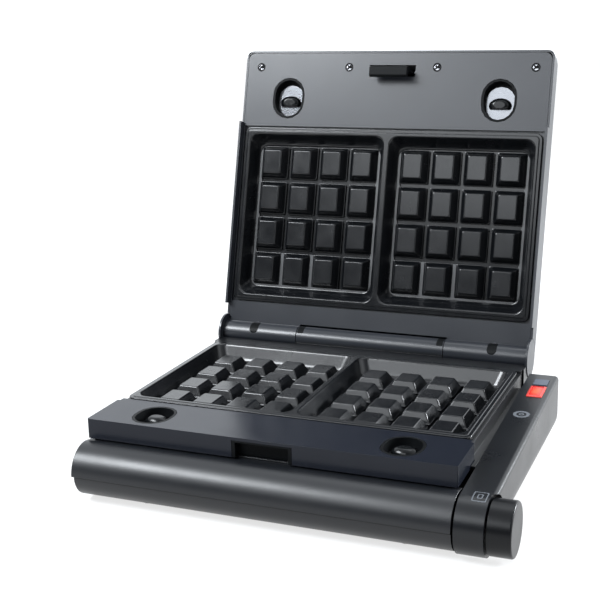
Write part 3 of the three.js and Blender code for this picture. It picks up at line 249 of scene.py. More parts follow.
def moulded(name, colour, roughness, shine=0.5, grain=2600.0, grain_height=0.02 * MM, top=None):
    """Fine-grained moulded plastic or lacquer, a little uneven in tone and gloss.

    The last value gives it another colour on top, as recolour_above takes it.
    """
    shader = (
        Shader(name, colour, roughness)
        .set(Specular_IOR_Level=shine)
        .vary_colour(scale=38.0, amount=0.05)
        .vary_roughness(scale=24.0, amount=0.03)
        .bump(grain, grain_height, strength=0.35)
    )
    if top:
        shader.recolour_above(*top)
    return shader.material


def brushed(name, colour, roughness, stretch):
    """Metal with fine brushed lines."""
    return (
        Shader(name, colour, roughness, metallic=1.0)
        .vary_colour(scale=260.0, amount=0.08, stretch=stretch)
        .vary_roughness(scale=420.0, amount=0.07, stretch=stretch)
        .bump(scale=900.0, height=0.012 * MM, strength=0.4, stretch=stretch)
        .material
    )


RED_LENS_LOW, RED_LENS_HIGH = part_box("red_lamp_lens")
RED_LENS_MIDDLE = (RED_LENS_LOW + RED_LENS_HIGH) / 2
RED_LENS_HALF = (RED_LENS_HIGH - RED_LENS_LOW) / 2

# The middle hinge barrel is moulded on the base housing and has the lid's tone.
LID_COLOUR = (0.015, 0.017, 0.0215)
HOUSING_COLOUR = (0.005, 0.0055, 0.0065)
HOUSING_DARK_TOP = 62.8 * MM
HOUSING_BARREL_LOW = 66.0 * MM

MATERIALS = {
    "ledge": moulded("ledge_plastic", (0.007, 0.0085, 0.013), 0.24, 0.2),
    "body": moulded("body_plastic", HOUSING_COLOUR, 0.32, 0.3),
    "housing": moulded("housing_plastic", HOUSING_COLOUR, 0.32, 0.42,
                       top=(HOUSING_DARK_TOP, HOUSING_BARREL_LOW, LID_COLOUR)),
    "tube": moulded("tube_lacquer", (0.005, 0.0058, 0.0075), 0.36, 0.42),
    "lid": moulded("lid_lacquer", LID_COLOUR, 0.33, 0.5),
    "rail": moulded("rail_lacquer", (0.004, 0.0047, 0.006), 0.30, 0.3),
    "knob": moulded("knob_plastic", (0.002, 0.0023, 0.003), 0.30, 0.2),
    "thumb": moulded("thumb_plastic", (0.003, 0.0035, 0.004), 0.2, 0.22),
    "mark": moulded("mark_print", (0.075, 0.082, 0.092), 0.45, 0.3),
    # Black plastic. It also paints shade: in the lip screws' cross recesses and rings, on the
    # patches on the hinge barrels and on the sheet in the control housing's slot.
    "black": moulded("black_plastic", (0.003, 0.0035, 0.004), 0.45, 0.08),
    "rubber": moulded("foot_rubber", (0.010, 0.010, 0.010), 0.8, 0.3, 900.0, 0.05 * MM),
    "catch": brushed("catch_steel", (0.15, 0.154, 0.165), 0.2, (1.0, 14.0, 14.0)),
    "steel": brushed("screw_steel", (0.26, 0.265, 0.28), 0.18, (1.0, 1.0, 6.0)),
    "dark_steel": brushed("dark_steel", (0.09, 0.09, 0.10), 0.36, (1.0, 1.0, 6.0)),
    "sheet": brushed("reflector_sheet", (0.72, 0.73, 0.75), 0.3, (1.0, 20.0, 20.0)),
    "non_stick": (
        Shader("non_stick_coating", (0.0035, 0.004, 0.005), 0.24)
        .vary_roughness(scale=60.0, amount=0.04)
        .bump(scale=1500.0, height=0.02 * MM, strength=0.3, detail=3.0)
        .set(Coat_Weight=0.12, Coat_Roughness=0.14, Specular_IOR_Level=0.35)
        .material
    ),
    # The cavity floors between the blocks are lighter than the blocks: painted sheen, for the
    # highlights that the narrow floors catch.
    "non_stick_floor_painted_sheen": (
        Shader("non_stick_floor_painted_sheen", (0.024, 0.025, 0.028), 0.40)
        .vary_roughness(scale=60.0, amount=0.04)
        .bump(scale=1500.0, height=0.02 * MM, strength=0.3, detail=3.0)
        .set(Specular_IOR_Level=0.8)
        .material
    ),
    "red_lens": (
        Shader("red_lens", (0.45, 0.018, 0.010), 0.16)
        .glow(RED_LENS_MIDDLE, RED_LENS_HALF,
              inner=(0.80, 0.050, 0.012), outer=(0.34, 0.006, 0.006), strength=0.24)
        .set(Specular_IOR_Level=0.25)
        .material
    ),
    "lamp_frame": (
        Shader("lamp_frame", (0.45, 0.035, 0.027), 0.3)
        .vary_colour(scale=400.0, amount=0.08)
        .set(Emission_Color=(1.0, 0.08, 0.06, 1), Emission_Strength=0.05, Specular_IOR_Level=0.3)
        .material
    ),
    "grey_lens": (
        Shader("grey_lens", (0.045, 0.055, 0.075), 0.35)
        .vary_colour(scale=200.0, amount=0.08)
        .set(Specular_IOR_Level=0.2)
        .material
    ),
}

NODE_MATERIALS = {
    "base_pan": "tube",
    "base_housing": "housing",
    "ledge": "ledge",
    "latch_keeper": "black",
    "tube_cover": "tube",
    "control_housing": "rail",
    "control_hatch": "body",
    "red_lamp_lens": "red_lens",
    "grey_lamp_lens": "grey_lens",
    "knob": "knob",
    "lid_cover": "lid",
    "lid_frame": "lid",
    "lower_plate": "non_stick",
    "upper_plate": "non_stick",
    "latch_hook": "black",
    "cord_gland": "rubber",
    "lower_heater": "dark_steel",
    "upper_heater": "dark_steel",
    "lower_reflector": "sheet",
    "upper_reflector": "sheet",
    "thermostat": "black",
    "terminal_block": "black",
    "lamp_holder": "black",
}


def node_material(name):
    if name in NODE_MATERIALS:
        return MATERIALS[NODE_MATERIALS[name]]
    if name.startswith("foot"):
        return MATERIALS["rubber"]
    if "thumb" in name or "cup" in name:
        return MATERIALS["black"]
    if name.startswith("hinge_cheek"):
        return MATERIALS["lid"]
    if name.startswith(("hinge_screw", "pan_screw")):
        return MATERIALS["dark_steel"]
    if name.startswith(("lower_catch", "upper_catch")) and "spring" not in name:
        return MATERIALS["catch"]
    return MATERIALS["steel"]


# CAD nodes keep their shape. Their edges are softened and their curved faces shaded smooth.
EDGE_SOFTNESS = {
    "base_housing": 0.4 * MM,
    "ledge": 0.5 * MM,
    "base_pan": 0.5 * MM,
    "tube_cover": 0.4 * MM,
    "control_housing": 0.9 * MM,
    "lid_cover": 0.5 * MM,
    "lid_frame": 0.35 * MM,
    "knob": 0.3 * MM,
    "latch_hook": 0.4 * MM,
}
SMALL_EDGE = 0.12 * MM
EDGE_STEPS = {"lid_frame": 1}
USUAL_EDGE_STEPS = 2
SHARP_ANGLE = math.radians(28)
FLAT_ANGLE = math.radians(0.4)
WELD_REACH = 0.002 * MM
FACE_WEIGHT = 100


def soften(node, width, steps):
    weld = node.modifiers.new("weld", "WELD")
    weld.merge_threshold = WELD_REACH
    flat = node.modifiers.new("flat", "DECIMATE")
    flat.decimate_type = "DISSOLVE"
    flat.angle_limit = FLAT_ANGLE
    bevel = node.modifiers.new("edges", "BEVEL")
    bevel.width = width
    bevel.segments = steps
    bevel.limit_method = "ANGLE"
    bevel.angle_limit = SHARP_ANGLE
    bevel.use_clamp_overlap = True
    shade_smooth(node)
    normals = node.modifiers.new("normals", "WEIGHTED_NORMAL")
    normals.weight = FACE_WEIGHT


for node_name, node in NODES.items():
    set_material(node, node_material(node_name))
    edge_steps = EDGE_STEPS.get(node_name, USUAL_EDGE_STEPS)
    soften(node, EDGE_SOFTNESS.get(node_name, SMALL_EDGE), edge_steps)


# Rings of points, and the faces between them
CIRCLE_STEPS = 48
FINE_STEP = 0.5
SHORTEST_NORMAL = 1e-12


def circle(middle, radius, z=0.0):
    turns = [2 * math.pi * i / CIRCLE_STEPS for i in range(CIRCLE_STEPS)]
    return [(middle[0] + radius * math.cos(turn), middle[1] + radius * math.sin(turn), z)
            for turn in turns]


def rounded_ring(middle, half, corner, z, steps):
    """Points round a rectangle with rounded corners, seen from above against the clock."""
    points = []
    for turn, (side_x, side_y) in enumerate([(1, 1), (-1, 1), (-1, -1), (1, -1)]):
        for step in range(steps + 1):
            angle = math.pi / 2 * (turn + step / steps)
            points.append((
                middle[0] + side_x * (half[0] - corner) + corner * math.cos(angle),
                middle[1] + side_y * (half[1] - corner) + corner * math.sin(angle),
                z,
            ))
    return points


def eased(start, corner, end, steps):
    """Points along a curve that leaves start towards corner and arrives at end from there."""
    points = []
    for step in range(steps + 1):
        t = step / steps
        points.append(tuple(
            (1 - t) ** 2 * a + 2 * t * (1 - t) * b + t ** 2 * c
            for a, b, c in zip(start, corner, end)))
    return points


def finer(outline):
    """The outline with its points closer together, for the surfaces that it bends over."""
    points = []
    for start, end in zip(outline, outline[1:] + outline[:1]):
        steps = max(1, round(math.dist(start, end) / FINE_STEP))
        points.extend(
            tuple(a + (b - a) * step / steps for a, b in zip(start, end)) for step in range(steps))
    return points


class Builder:
    """Collects the points and faces of one closed piece, and which faces are flat or marked."""

    def __init__(self):
        self.points = []
        self.faces = []
        self.flat = []        # these keep their own normals up to their edges
        # The second material paints sheen on the plates' cavity floors and shade in the lip screws'
        # recesses and rings.
        self.marked = set()   # these get the piece's second material

    def add(self, ring):
        start = len(self.points)
        self.points.extend(ring)
        return list(range(start, start + len(ring)))

    def band(self, lower, upper):
        count = len(lower)
        for i in range(count):
            j = (i + 1) % count
            self.faces.append((lower[i], lower[j], upper[j], upper[i]))

    def stack(self, rings):
        """Bands between rings that follow each other. Returns the first and the last one."""
        places = [self.add(ring) for ring in rings]
        for lower, upper in zip(places, places[1:]):
            self.band(lower, upper)
        return places[0], places[-1]

    def level(self, outer, holes=(), up=True, marked=False):
        """A level face with holes, cut into triangles."""
        loops = [outer, *holes]
        corners = [place for loop in loops for place in loop]
        outlines = [[Vector(self.points[place]) for place in loop] for loop in loops]
        for a, b, c in tessellate_polygon(outlines):
            face = [corners[a], corners[b], corners[c]]
            first, second, third = (Vector(self.points[place]) for place in face)
            if ((second - first).cross(third - first).z > 0) != up:
                face.reverse()
            self.flat.append(len(self.faces))
            if marked:
                self.marked.add(len(self.faces))
            self.faces.append(tuple(face))

    def piece(self, name, place, materials, flipped=False):
        """The piece at its place. One that a mirror puts there has to be flipped."""
        points = [place @ (Vector(point) * MM) for point in self.points]
        faces = [tuple(reversed(face)) for face in self.faces] if flipped else self.faces
        made = mesh_object(name, points, faces)
        shade_smooth(made)
        mesh = made.data
        for material in materials:
            mesh.materials.append(MATERIALS[material])
        normals = np.zeros((len(points), 3))
        for polygon in mesh.polygons:
            for corner in polygon.vertices:
                normals[corner] += np.array(polygon.normal) * polygon.area
        for index in self.flat:
            polygon = mesh.polygons[index]
            for corner in polygon.vertices:
                normals[corner] = polygon.normal
        for index in self.marked:
            mesh.polygons[index].material_index = 1
        lengths = np.linalg.norm(normals, axis=1, keepdims=True)
        normals /= np.maximum(lengths, SHORTEST_NORMAL)
        mesh.normals_split_custom_set_from_vertices(normals.tolist())
        return made


# Cooking plates. One cavity has four by four blocks. A share says how far down a sloping side is,
# as a part of its whole slope, and goes on below 0 and above 1 where the side rounds off.
PLATE_HALF = ((PLATE_HIGH.x - PLATE_LOW.x) / 2 / MM, (PLATE_HIGH.y - PLATE_LOW.y) / 2 / MM)
PLATE_MIDDLE_Y = PLATE_SETBACK / MM + PLATE_HALF[1]
PLATE_CORNER = 7.0
PLATE_CORNER_LEAST = 3.0
PLATE_CORNER_STEPS = 10
RIM_TOP = 0.8
RIM_UNDERSIDE = -2.2
RIM_CHAMFER = 0.5
RIM_ROUND_WIDTH = 0.9
RIM_ROUND_HEIGHT = 0.7
LIP_INSET = 2.6
LIP_FOOT_WIDTH = 0.5
LIP_BEND_WIDTH = 0.6
LIP_BEND_HEIGHT = 1.05
LIP_EDGE_WIDTH = 0.7
LIP_TOP_WIDTH = 1.4
LIP_TOP = 1.3
RIM_SIDE_REACH = 6.1
RIM_END_REACH = 6.6
DIVIDER_HALF = 2.5
CAVITY_SINK = 13.6
CAVITY_DRAFT = (5.1, 6.8)
CAVITY_CORNER = 9.0
CAVITY_CORNER_STEPS = 12
CAVITY_WALL = 2.2
CAVITY_EDGE_SHARES = (-0.16, 0.14)
CAVITY_FOOT_SHARES = (0.72, 1.3)
PAN_ROUND_SHARE = 0.25
PAN_ROUND_HEIGHT = 1.5
CAVITY_HALF = (
    (PLATE_HALF[0] - RIM_SIDE_REACH - DIVIDER_HALF) / 2,
    PLATE_HALF[1] - RIM_END_REACH,
)
CAVITY_SHIFT = CAVITY_HALF[0] + DIVIDER_HALF
CAVITY_FLOOR = RIM_TOP - CAVITY_SINK
BLOCKS_PER_SIDE = 4
BLOCK_PITCH = (30.6, 34.6)
BLOCK_HALF = (13.2, 15.1)
BLOCK_TAPER = (4.5, 3.9)
BLOCK_HEIGHT = 8.4
BLOCK_CORNER = 1.3
BLOCK_CORNER_STEPS = 4
BLOCK_FOOT_SHARES = (-0.14, 0.1)
BLOCK_EDGE_SHARES = (0.88, 1.22)
BLOCK_EDGE_DROP = 0.12


def plate_outline(inset, z):
    half = (PLATE_HALF[0] - inset, PLATE_HALF[1] - inset)
    corner = max(PLATE_CORNER - inset, PLATE_CORNER_LEAST)
    return rounded_ring((0, PLATE_MIDDLE_Y), half, corner, z, PLATE_CORNER_STEPS)


def cavity_outline(side, share, z, wall=0.0):
    half = [CAVITY_HALF[axis] + wall - CAVITY_DRAFT[axis] * share for axis in (0, 1)]
    middle = (side * CAVITY_SHIFT, PLATE_MIDDLE_Y)
    return rounded_ring(middle, half, CAVITY_CORNER, z, CAVITY_CORNER_STEPS)


def block_outline(middle, share, z):
    half = [BLOCK_HALF[axis] - BLOCK_TAPER[axis] * share for axis in (0, 1)]
    return rounded_ring(middle, half, BLOCK_CORNER, z, BLOCK_CORNER_STEPS)


def wall_share(z):
    return (RIM_TOP - z) / CAVITY_SINK


def plate_form():
    form = Builder()
    rim = [(RIM_CHAMFER, RIM_UNDERSIDE), (0.0, RIM_UNDERSIDE + RIM_CHAMFER)]
    rim += eased((0.0, RIM_TOP - RIM_ROUND_HEIGHT), (0.0, RIM_TOP), (RIM_ROUND_WIDTH, RIM_TOP),
                 steps=4)
    bend = (LIP_INSET + LIP_BEND_WIDTH, LIP_BEND_HEIGHT)
    rim += eased((LIP_INSET, RIM_TOP), (LIP_INSET + LIP_FOOT_WIDTH, RIM_TOP), bend, steps=2)
    lip_edge, lip_end = (LIP_INSET + LIP_EDGE_WIDTH, LIP_TOP), (LIP_INSET + LIP_TOP_WIDTH, LIP_TOP)
    rim += eased(bend, lip_edge, lip_end, steps=3)[1:]
    under, top = form.stack([plate_outline(inset, z) for inset, z in rim])

    mouths, pans = [], []
    for side in (-1, 1):
        start, end = CAVITY_EDGE_SHARES
        profile = eased((start, LIP_TOP), (0.0, LIP_TOP), (end, RIM_TOP - end * CAVITY_SINK),
                        steps=5)
        start, end = CAVITY_FOOT_SHARES
        profile += eased((start, RIM_TOP - start * CAVITY_SINK), (1.0, CAVITY_FLOOR),
                         (end, CAVITY_FLOOR), steps=6)
        mouth, floor = form.stack([cavity_outline(side, share, z) for share, z in profile])
        mouths.append(mouth)
        blocks = [block_form(form, side, column, row)
                  for column in range(BLOCKS_PER_SIDE) for row in range(BLOCKS_PER_SIDE)]
        # The cavity floor gets the second material: a painted sheen.
        form.level(floor, blocks, marked=True)
        bottom = CAVITY_FLOOR - CAVITY_WALL
        side_start = bottom + PAN_ROUND_HEIGHT
        shell = eased((wall_share(bottom) + PAN_ROUND_SHARE, bottom), (wall_share(bottom), bottom),
                      (wall_share(side_start), side_start), steps=3)
        shell.append((wall_share(RIM_UNDERSIDE), RIM_UNDERSIDE))
        base, pan = form.stack([cavity_outline(side, share, z, CAVITY_WALL) for share, z in shell])
        form.level(base, up=False)
        pans.append(pan)
    form.level(top, mouths)
    form.level(under, pans, up=False)
    return form


def block_form(form, side, column, row):
    middle = (BLOCKS_PER_SIDE - 1) / 2
    place = (
        side * CAVITY_SHIFT + (column - middle) * BLOCK_PITCH[0],
        PLATE_MIDDLE_Y + (row - middle) * BLOCK_PITCH[1],
    )
    top = CAVITY_FLOOR + BLOCK_HEIGHT
    start, end = BLOCK_FOOT_SHARES
    profile = eased((start, CAVITY_FLOOR), (0.0, CAVITY_FLOOR),
                    (end, CAVITY_FLOOR + end * BLOCK_HEIGHT), steps=4)
    start, end = BLOCK_EDGE_SHARES
    profile += eased((start, top - BLOCK_EDGE_DROP * BLOCK_HEIGHT), (1.0, top), (end, top),
                     steps=4)
    low, high = form.stack([block_outline(place, share, z) for share, z in profile])
    form.level(high)
    return low


def make_plates():
    form = plate_form()
    # The second material paints sheen on the cavity floors.
    materials = ("non_stick", "non_stick_floor_painted_sheen")
    lower = form.piece("lower_plate_detail", IN_BASE, materials)
    upper = form.piece("upper_plate_detail", IN_OPEN_LID, materials, flipped=True)
    for piece, node in ((lower, "lower_plate"), (upper, "upper_plate")):
        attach(piece, node)
        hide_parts(node)


# Thin prints and frames that lie on a node's upper side
PRINT_SINK = 0.2
PRINT_RISE = 0.06
DROP_START = 10 * MM
FRAME_CORNER = 1.2
FRAME_CORNER_STEPS = 5
MARK_PLACE = (165.2, 139.2)
MARK_RINGS = {"mark_ring": (6.6, 2.6), "mark_middle": (2.2, 1.2)}
SIGN_PLACE = (167.7, -7.5)
SIGN_HALF = (5.2, 6.2)
SIGN_WIDTH = 0.8
SIGN_INSETS = {"sign_frame": 0.0, "sign_middle": 3.2}
LAMP_FRAME_REACH = 0.6
LAMP_FRAME_WIDTH = 1.6
LAMP_FRAME_RISE = 0.45


def drop_on(node_names):
    """A function that gives the height of the nodes' upper side at a place."""
    trees = []
    for name in node_names:
        mesh = NODES[name].data
        points = [vertex.co for vertex in mesh.vertices]
        trees.append(BVHTree.FromPolygons(points, [tuple(face.vertices) for face in mesh.polygons]))

    def height(x, y):
        start = Vector((x, y, cad_high.z + DROP_START))
        hits = [tree.ray_cast(start, Vector((0, 0, -1)))[0] for tree in trees]
        return max(hit.z for hit in hits if hit)

    return height


def laid_strip(name, node_names, outer, inner, rise, material):
    """A closed strip between two outlines, which follows the surface that it lies on."""
    height = drop_on(node_names)
    low, high = -PRINT_SINK, rise
    points = []
    for outline, lift in ((inner, low), (outer, low), (outer, high), (inner, high)):
        places = [(DATUM.x + x * MM, DATUM.y + y * MM) for x, y, _ in outline]
        points.extend((x, y, height(x, y) + lift * MM) for x, y in places)
    count = len(outer)
    faces = []
    for ring in range(4):
        here, there = ring * count, (ring + 1) % 4 * count
        for i in range(count):
            j = (i + 1) % count
            faces.append((here + i, here + j, there + j, there + i))
    strip = mesh_object(name, points, faces)
    set_material(strip, MATERIALS[material])
    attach(strip, "base")


def frame_outlines(middle, half, width):
    """Two outlines with the same number of points, the width apart."""
    outer = finer(rounded_ring(middle, half, FRAME_CORNER, 0, FRAME_CORNER_STEPS))
    inner = [
        (middle[0] + (x - middle[0]) * (half[0] - width) / half[0],
         middle[1] + (y - middle[1]) * (half[1] - width) / half[1], z)
        for x, y, z in outer]
    return outer, inner


def make_marks():
    housing = ["control_housing"]
    for name, (radius, width) in MARK_RINGS.items():
        outlines = circle(MARK_PLACE, radius), circle(MARK_PLACE, radius - width)
        laid_strip(name, housing, *outlines, PRINT_RISE, "mark")
    for name, inset in SIGN_INSETS.items():
        half = (SIGN_HALF[0] - inset, SIGN_HALF[1] - inset)
        outlines = frame_outlines(SIGN_PLACE, half, SIGN_WIDTH)
        laid_strip(name, housing, *outlines, PRINT_RISE, "mark")
    middle = (RED_LENS_MIDDLE - DATUM) / MM
    half = (RED_LENS_HALF.x / MM + LAMP_FRAME_REACH, RED_LENS_HALF.y / MM + LAMP_FRAME_REACH)
    outlines = frame_outlines(middle, half, LAMP_FRAME_WIDTH)
    laid_strip("red_lamp_frame", [*housing, "red_lamp_lens"], *outlines, LAMP_FRAME_RISE,
               "lamp_frame")


# Thumb pieces of the catches: domes with a straight edge towards the plate
THUMB_X = 102.7
THUMB_Y = 27.7
THUMB_SEAT = 7.55
THUMB_HALF = (10.5, 7.0)
THUMB_HEIGHT = 6.0
THUMB_EDGE = 3.6
THUMB_EDGE_LEAN = 0.9
THUMB_STEPS = 10


def thumb_form(side):
    form = Builder()
    rings = []
    for step in range(THUMB_STEPS):
        t = step / THUMB_STEPS
        round_share = math.sqrt(1 - t * t)
        edge = THUMB_EDGE - THUMB_EDGE_LEAN * t
        ring = []
        for i in range(CIRCLE_STEPS):
            angle = 2 * math.pi * i / CIRCLE_STEPS
            y = min(THUMB_HALF[1] * round_share * math.sin(angle), edge)
            x = THUMB_HALF[0] * round_share * math.cos(angle)
            ring.append((side * THUMB_X + x, THUMB_Y + y, -THUMB_SEAT + THUMB_HEIGHT * t))
        rings.append(ring)
    low, high = form.stack(rings)
    form.level(low, up=False)
    form.level(high)
    return form


def make_thumbs():
    for side, hand in ((-1, "left"), (1, "right")):
        form = thumb_form(side)
        lower = form.piece(f"lower_thumb_{hand}_detail", IN_BASE, ["thumb"])
        upper = form.piece(f"upper_thumb_{hand}_detail", IN_OPEN_LID, ["thumb"], flipped=True)
        for piece, level in ((lower, "lower"), (upper, "upper")):
            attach(piece, f"{level}_catch_{hand}")
            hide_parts(f"{level}_catch_thumb_{hand}")


# Screws of the lid's lip: a flush head with a cross recess, in a dark ring. The recess and the ring
# are black, as painted shade.
LIP_SCREW_Y = -5.9
HEAD_RADIUS = 3.0
HEAD_HEIGHT = 2.0
HEAD_CHAMFER = 0.3
HEAD_ROUND = 0.5
SHANK_RADIUS = 1.5
SHANK_LENGTH = 11.0
SHANK_CHAMFER = 0.4
SHADE_RING_RADIUS = 4.1
SHADE_RING_RISE = 0.15
SHADE_RING_SINK = 0.1
SHADE_RING_CHAMFER = 0.05
CROSS_TURN = math.radians(45)
CROSS_REACH = 2.45
CROSS_HALF_WIDTH = 0.8
CROSS_DEPTH = 1.4


def cross_outline(middle, z):
    outline = []
    for quarter in range(4):
        angle = CROSS_TURN + quarter * math.pi / 2
        for u, v in ((CROSS_REACH, -CROSS_HALF_WIDTH), (CROSS_REACH, CROSS_HALF_WIDTH),
                     (CROSS_HALF_WIDTH, CROSS_HALF_WIDTH)):
            outline.append((middle[0] + u * math.cos(angle) - v * math.sin(angle),
                            middle[1] + u * math.sin(angle) + v * math.cos(angle), z))
    return outline


def screw_form(middle):
    form = Builder()
    profile = [
        (SHANK_RADIUS - SHANK_CHAMFER, -SHANK_LENGTH),
        (SHANK_RADIUS, -SHANK_LENGTH + SHANK_CHAMFER),
        (SHANK_RADIUS, -HEAD_HEIGHT),
        (HEAD_RADIUS - HEAD_CHAMFER, -HEAD_HEIGHT),
    ]
    profile += eased((HEAD_RADIUS, -HEAD_HEIGHT + HEAD_CHAMFER), (HEAD_RADIUS, 0),
                     (HEAD_RADIUS - HEAD_ROUND, 0), steps=4)
    low, high = form.stack([circle(middle, size, z) for size, z in profile])
    form.level(low, up=False)
    # The cross recess gets the black second material: painted shade in it.
    first = len(form.faces)
    mouth, floor = form.stack([cross_outline(middle, 0), cross_outline(middle, -CROSS_DEPTH)])
    form.marked.update(range(first, len(form.faces)))
    form.level(floor, marked=True)
    form.level(high, [mouth])
    # A thin black ring round the head: painted shade in the gap between the head and its hole.
    first = len(form.faces)
    shade_ring = ((SHADE_RING_RADIUS, -SHADE_RING_SINK), (SHADE_RING_RADIUS, SHADE_RING_RISE - SHADE_RING_CHAMFER),
            (SHADE_RING_RADIUS - SHADE_RING_CHAMFER, SHADE_RING_RISE), (HEAD_RADIUS, SHADE_RING_RISE),
            (HEAD_RADIUS, -SHADE_RING_SINK))
    form.stack([circle(middle, size, z) for size, z in shade_ring])
    form.marked.update(range(first, len(form.faces)))
    return form


def make_screws():
    for number in range(1, 5):
        low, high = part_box(f"lip_screw_{number}")
        middle = (((low.x + high.x) / 2 - DATUM.x) / MM, LIP_SCREW_Y)
        form = screw_form(middle)
        # Its second material, black, paints shade in the cross recess and the ring.
        piece = form.piece(f"lip_screw_{number}_detail", IN_OPEN_LID, ["steel", "black"],
                           flipped=True)
        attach(piece, "lid")
        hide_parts(f"lip_screw_{number}")


# Thin dark patches that follow the hinge barrels' round: painted shade where the mouths of the two
# deep screw holes in the outer barrels are, and where the notches at the upper ends of the middle
# one are.
# Turns are in degrees, up from the front, in the open pose. A patch is made of rings at these
# shares of its outline.
BARREL_RADIUS = 10.5
BARREL_SPLIT = 72.0
PATCH_RISE = 0.06
PATCH_SINK = 0.4
PATCH_SHARES = (0.02, 0.1, 0.2, 0.3, 0.4, 0.5, 0.6, 0.7, 0.8, 0.9, 1.0)
PATCH_CORNER_STEPS = 6
MOUTH_TURNS = (17, 104)
MOUTH_HALF_WIDTH = 4.3
MOUTH_CORNER = MOUTH_HALF_WIDTH
NOTCH_TURNS = (38, 100)
NOTCH_HALF_WIDTH = 3.0
NOTCH_INSET = 4.0
NOTCH_CORNER = 0.6


def barrel_shade_patch(name, middle_x, half_width, turns, corner, body):
    low, high = (math.radians(turn) for turn in turns)
    half = (half_width, (high - low) / 2 * BARREL_RADIUS)
    outline = finer(rounded_ring((0, 0), half, corner, 0, PATCH_CORNER_STEPS))
    levels = [(share, -PATCH_SINK) for share in PATCH_SHARES]
    levels += [(share, PATCH_RISE) for share in reversed(PATCH_SHARES)]
    rings = []
    for share, lift in levels:
        ring = []
        for u, v, _ in outline:
            turn = (low + high) / 2 + v * share / BARREL_RADIUS
            reach = BARREL_RADIUS + lift
            ring.append((middle_x + u * share, -reach * math.cos(turn), reach * math.sin(turn)))
        rings.append(ring)
    form = Builder()
    inner, outer = form.stack(rings)
    form.level(inner, up=False)
    form.level(outer)
    patch = form.piece(name, Matrix.Translation((0, HINGE.y, HINGE.z)), ["black"])
    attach(patch, body)


def make_barrel_patches():
    for side, hand in ((-1, "left"), (1, "right")):
        low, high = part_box(f"hinge_screw_{hand}")
        mouth_x = (low.x + high.x) / 2 / MM
        barrel_shade_patch(f"barrel_mouth_shade_{hand}", mouth_x, MOUTH_HALF_WIDTH, MOUTH_TURNS,
                     MOUTH_CORNER, "lid")
        notch_x = DATUM.x / MM + side * (BARREL_SPLIT - NOTCH_INSET)
        barrel_shade_patch(f"barrel_notch_shade_{hand}", notch_x, NOTCH_HALF_WIDTH, NOTCH_TURNS,
                     NOTCH_CORNER, "base")


# Dark sheet in the narrow slot along the control housing, with a hole for the knob's shaft: painted
# shade that keeps the slot dark. It is drawn lying down, with its height along -x, and then stands
# up.
SHADE_SHEET_X = (130.5, 131.6)
SHADE_SHEET_STEPS = 32
SHADE_SHEET_INSET = 2.5
SHADE_SHEET_REAR = 62.0
SHADE_SHEET_LOW = 4.0
SHAFT_ROOM = 8.0


def make_shade_sheet():
    low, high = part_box("knob")
    axis = (-(low.z + high.z) / 2 / MM, (low.y + high.y) / 2 / MM)
    reach = (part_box("tube_cover")[1].z - (low.z + high.z) / 2) / MM - SHADE_SHEET_INSET
    form = Builder()
    rings = []
    for x in SHADE_SHEET_X:
        front = [(axis[0] - reach * math.cos(turn), axis[1] - reach * math.sin(turn), x)
                 for turn in (math.pi * i / SHADE_SHEET_STEPS for i in range(SHADE_SHEET_STEPS + 1))]
        rings.append(front + [(-SHADE_SHEET_LOW, SHADE_SHEET_REAR, x), (axis[0] - reach, SHADE_SHEET_REAR, x)])
    left, right = form.stack(rings)
    inner_right, inner_left = form.stack([circle(axis, SHAFT_ROOM, x) for x in reversed(SHADE_SHEET_X)])
    form.level(left, [inner_left], up=False)
    form.level(right, [inner_right])
    shade_sheet = form.piece("slot_shade_sheet", Matrix.Rotation(math.pi / 2, 4, "Y"), ["black"])
    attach(shade_sheet, "base")


make_plates()
make_marks()
make_thumbs()
make_screws()
make_barrel_patches()
make_shade_sheet()


# Floor, light and camera. The world is dark in front of the object and bright behind it. Seen
# directly, it is bright all round.
STUDIO_TINT = (0.92, 0.96, 1.0)
FLOOR_HALF = 6.0
WORLD_FRONT = 0.08
WORLD_REAR = 1.8
WORLD_FRONT_DEPTH = -0.9
WORLD_REAR_DEPTH = 0.3

# Name, place, target, size and power of each light
LIGHT_CENTRE = DATUM + Vector((0, 120 * MM, 60 * MM))
LIGHTS = (
    ("key", LIGHT_CENTRE + Vector((-1.07, -0.96, 1.29)), LIGHT_CENTRE, (0.96, 0.5), 60),
    ("front", LIGHT_CENTRE + Vector((-0.3, -1.75, 1.15)), LIGHT_CENTRE, (1.0, 0.74), 11),
    ("fill", LIGHT_CENTRE + Vector((1.6, -0.4, 0.9)), LIGHT_CENTRE, (1.0, 1.0), 3.5),
    ("side", Vector((1.25, 0.85, 0.5)), Vector((0.2, 0.15, 0)), (0.6, 0.3), 48),
    ("top", LIGHT_CENTRE + Vector((0.1, 0.5, 1.8)), LIGHT_CENTRE, (1.2, 0.7), 6),
)


def area_light(name, place, target, size, power):
    data = bpy.data.lights.new(name, "AREA")
    data.shape = "RECTANGLE"
    data.size, data.size_y = size
    data.energy = power
    data.color = STUDIO_TINT
    lamp = bpy.data.objects.new(name, data)
    lamp.location = place
    lamp.rotation_euler = (Vector(target) - Vector(place)).to_track_quat("-Z", "Y").to_euler()
    SCENE.collection.objects.link(lamp)


def make_floor():
    corners = [(x * FLOOR_HALF, y * FLOOR_HALF, 0) for x, y in ((-1, -1), (1, -1), (1, 1), (-1, 1))]
    floor = mesh_object("floor", corners, [(0, 1, 2, 3)])
    surface = Shader("floor_paper", (0.26, 0.26, 0.26), 0.9).set(
        Emission_Color=(1, 1, 1, 1), Emission_Strength=0.72, Specular_IOR_Level=0.0)
    set_material(floor, surface.material)
    floor.location.z = cad_low.z


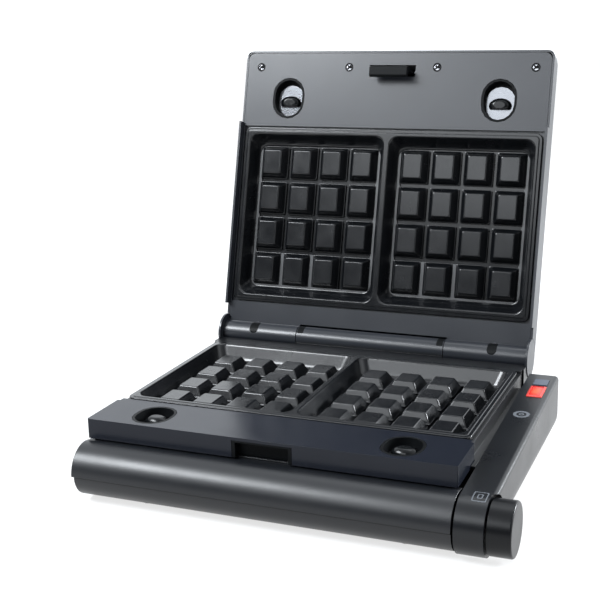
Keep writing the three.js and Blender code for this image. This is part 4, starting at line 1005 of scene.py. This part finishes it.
def make_world():
    world = bpy.data.worlds.new("studio")
    world.use_nodes = True
    tree = world.node_tree
    background = tree.nodes["Background"]
    direction = tree.nodes.new("ShaderNodeTexCoord").outputs["Generated"]
    split = tree.nodes.new("ShaderNodeSeparateXYZ")
    tree.links.new(direction, split.inputs["Vector"])
    depth = tree.nodes.new("ShaderNodeMapRange")
    depth.inputs["From Min"].default_value = WORLD_FRONT_DEPTH
    depth.inputs["From Max"].default_value = WORLD_REAR_DEPTH
    depth.inputs["To Min"].default_value = WORLD_FRONT
    depth.inputs["To Max"].default_value = WORLD_REAR
    tree.links.new(split.outputs["Y"], depth.inputs["Value"])
    seen = tree.nodes.new("ShaderNodeLightPath").outputs["Is Camera Ray"]
    mix = tree.nodes.new("ShaderNodeMix")
    around, direct = (mix.inputs[socket] for socket in MIX_NUMBERS)
    tree.links.new(seen, mix.inputs[MIX_SHARE])
    tree.links.new(depth.outputs["Result"], around)
    direct.default_value = WORLD_REAR
    tree.links.new(mix.outputs[MIX_NUMBER_RESULT], background.inputs["Strength"])
    background.inputs["Color"].default_value = (*STUDIO_TINT, 1)
    SCENE.world = world


# The camera's place counts from the datum, and its azimuth from the front.
CAMERA_PLACE = Vector((340.58, -740.93, 319.17)) * MM
CAMERA_AZIMUTH = math.radians(22.465)
CAMERA_ELEVATION = math.radians(14.581)
CAMERA_ROLL = math.radians(-1.388)
CAMERA_LENS = 70.32
CAMERA_SENSOR = 36.0
CAMERA_CLIP = (0.01, 50.0)


def make_camera():
    a, e = CAMERA_AZIMUTH, CAMERA_ELEVATION
    back = Vector((math.sin(a) * math.cos(e), -math.cos(a) * math.cos(e), math.sin(e)))
    right = Vector((math.cos(a), math.sin(a), 0))
    up = back.cross(right)
    level = Matrix((right, up, back)).transposed()
    turn = Matrix.Rotation(-CAMERA_ROLL, 3, "Z").transposed()
    data = bpy.data.cameras.new("camera")
    data.lens = CAMERA_LENS
    data.sensor_width = CAMERA_SENSOR
    data.sensor_fit = "HORIZONTAL"
    data.clip_start, data.clip_end = CAMERA_CLIP
    camera = bpy.data.objects.new("camera", data)
    camera.matrix_world = Matrix.Translation(DATUM + CAMERA_PLACE) @ (level @ turn).to_4x4()
    SCENE.collection.objects.link(camera)
    SCENE.camera = camera


make_floor()
make_world()
make_camera()
for light in LIGHTS:
    area_light(*light)
SCENE.view_settings.view_transform = "Standard"
SCENE.view_settings.look = "None"
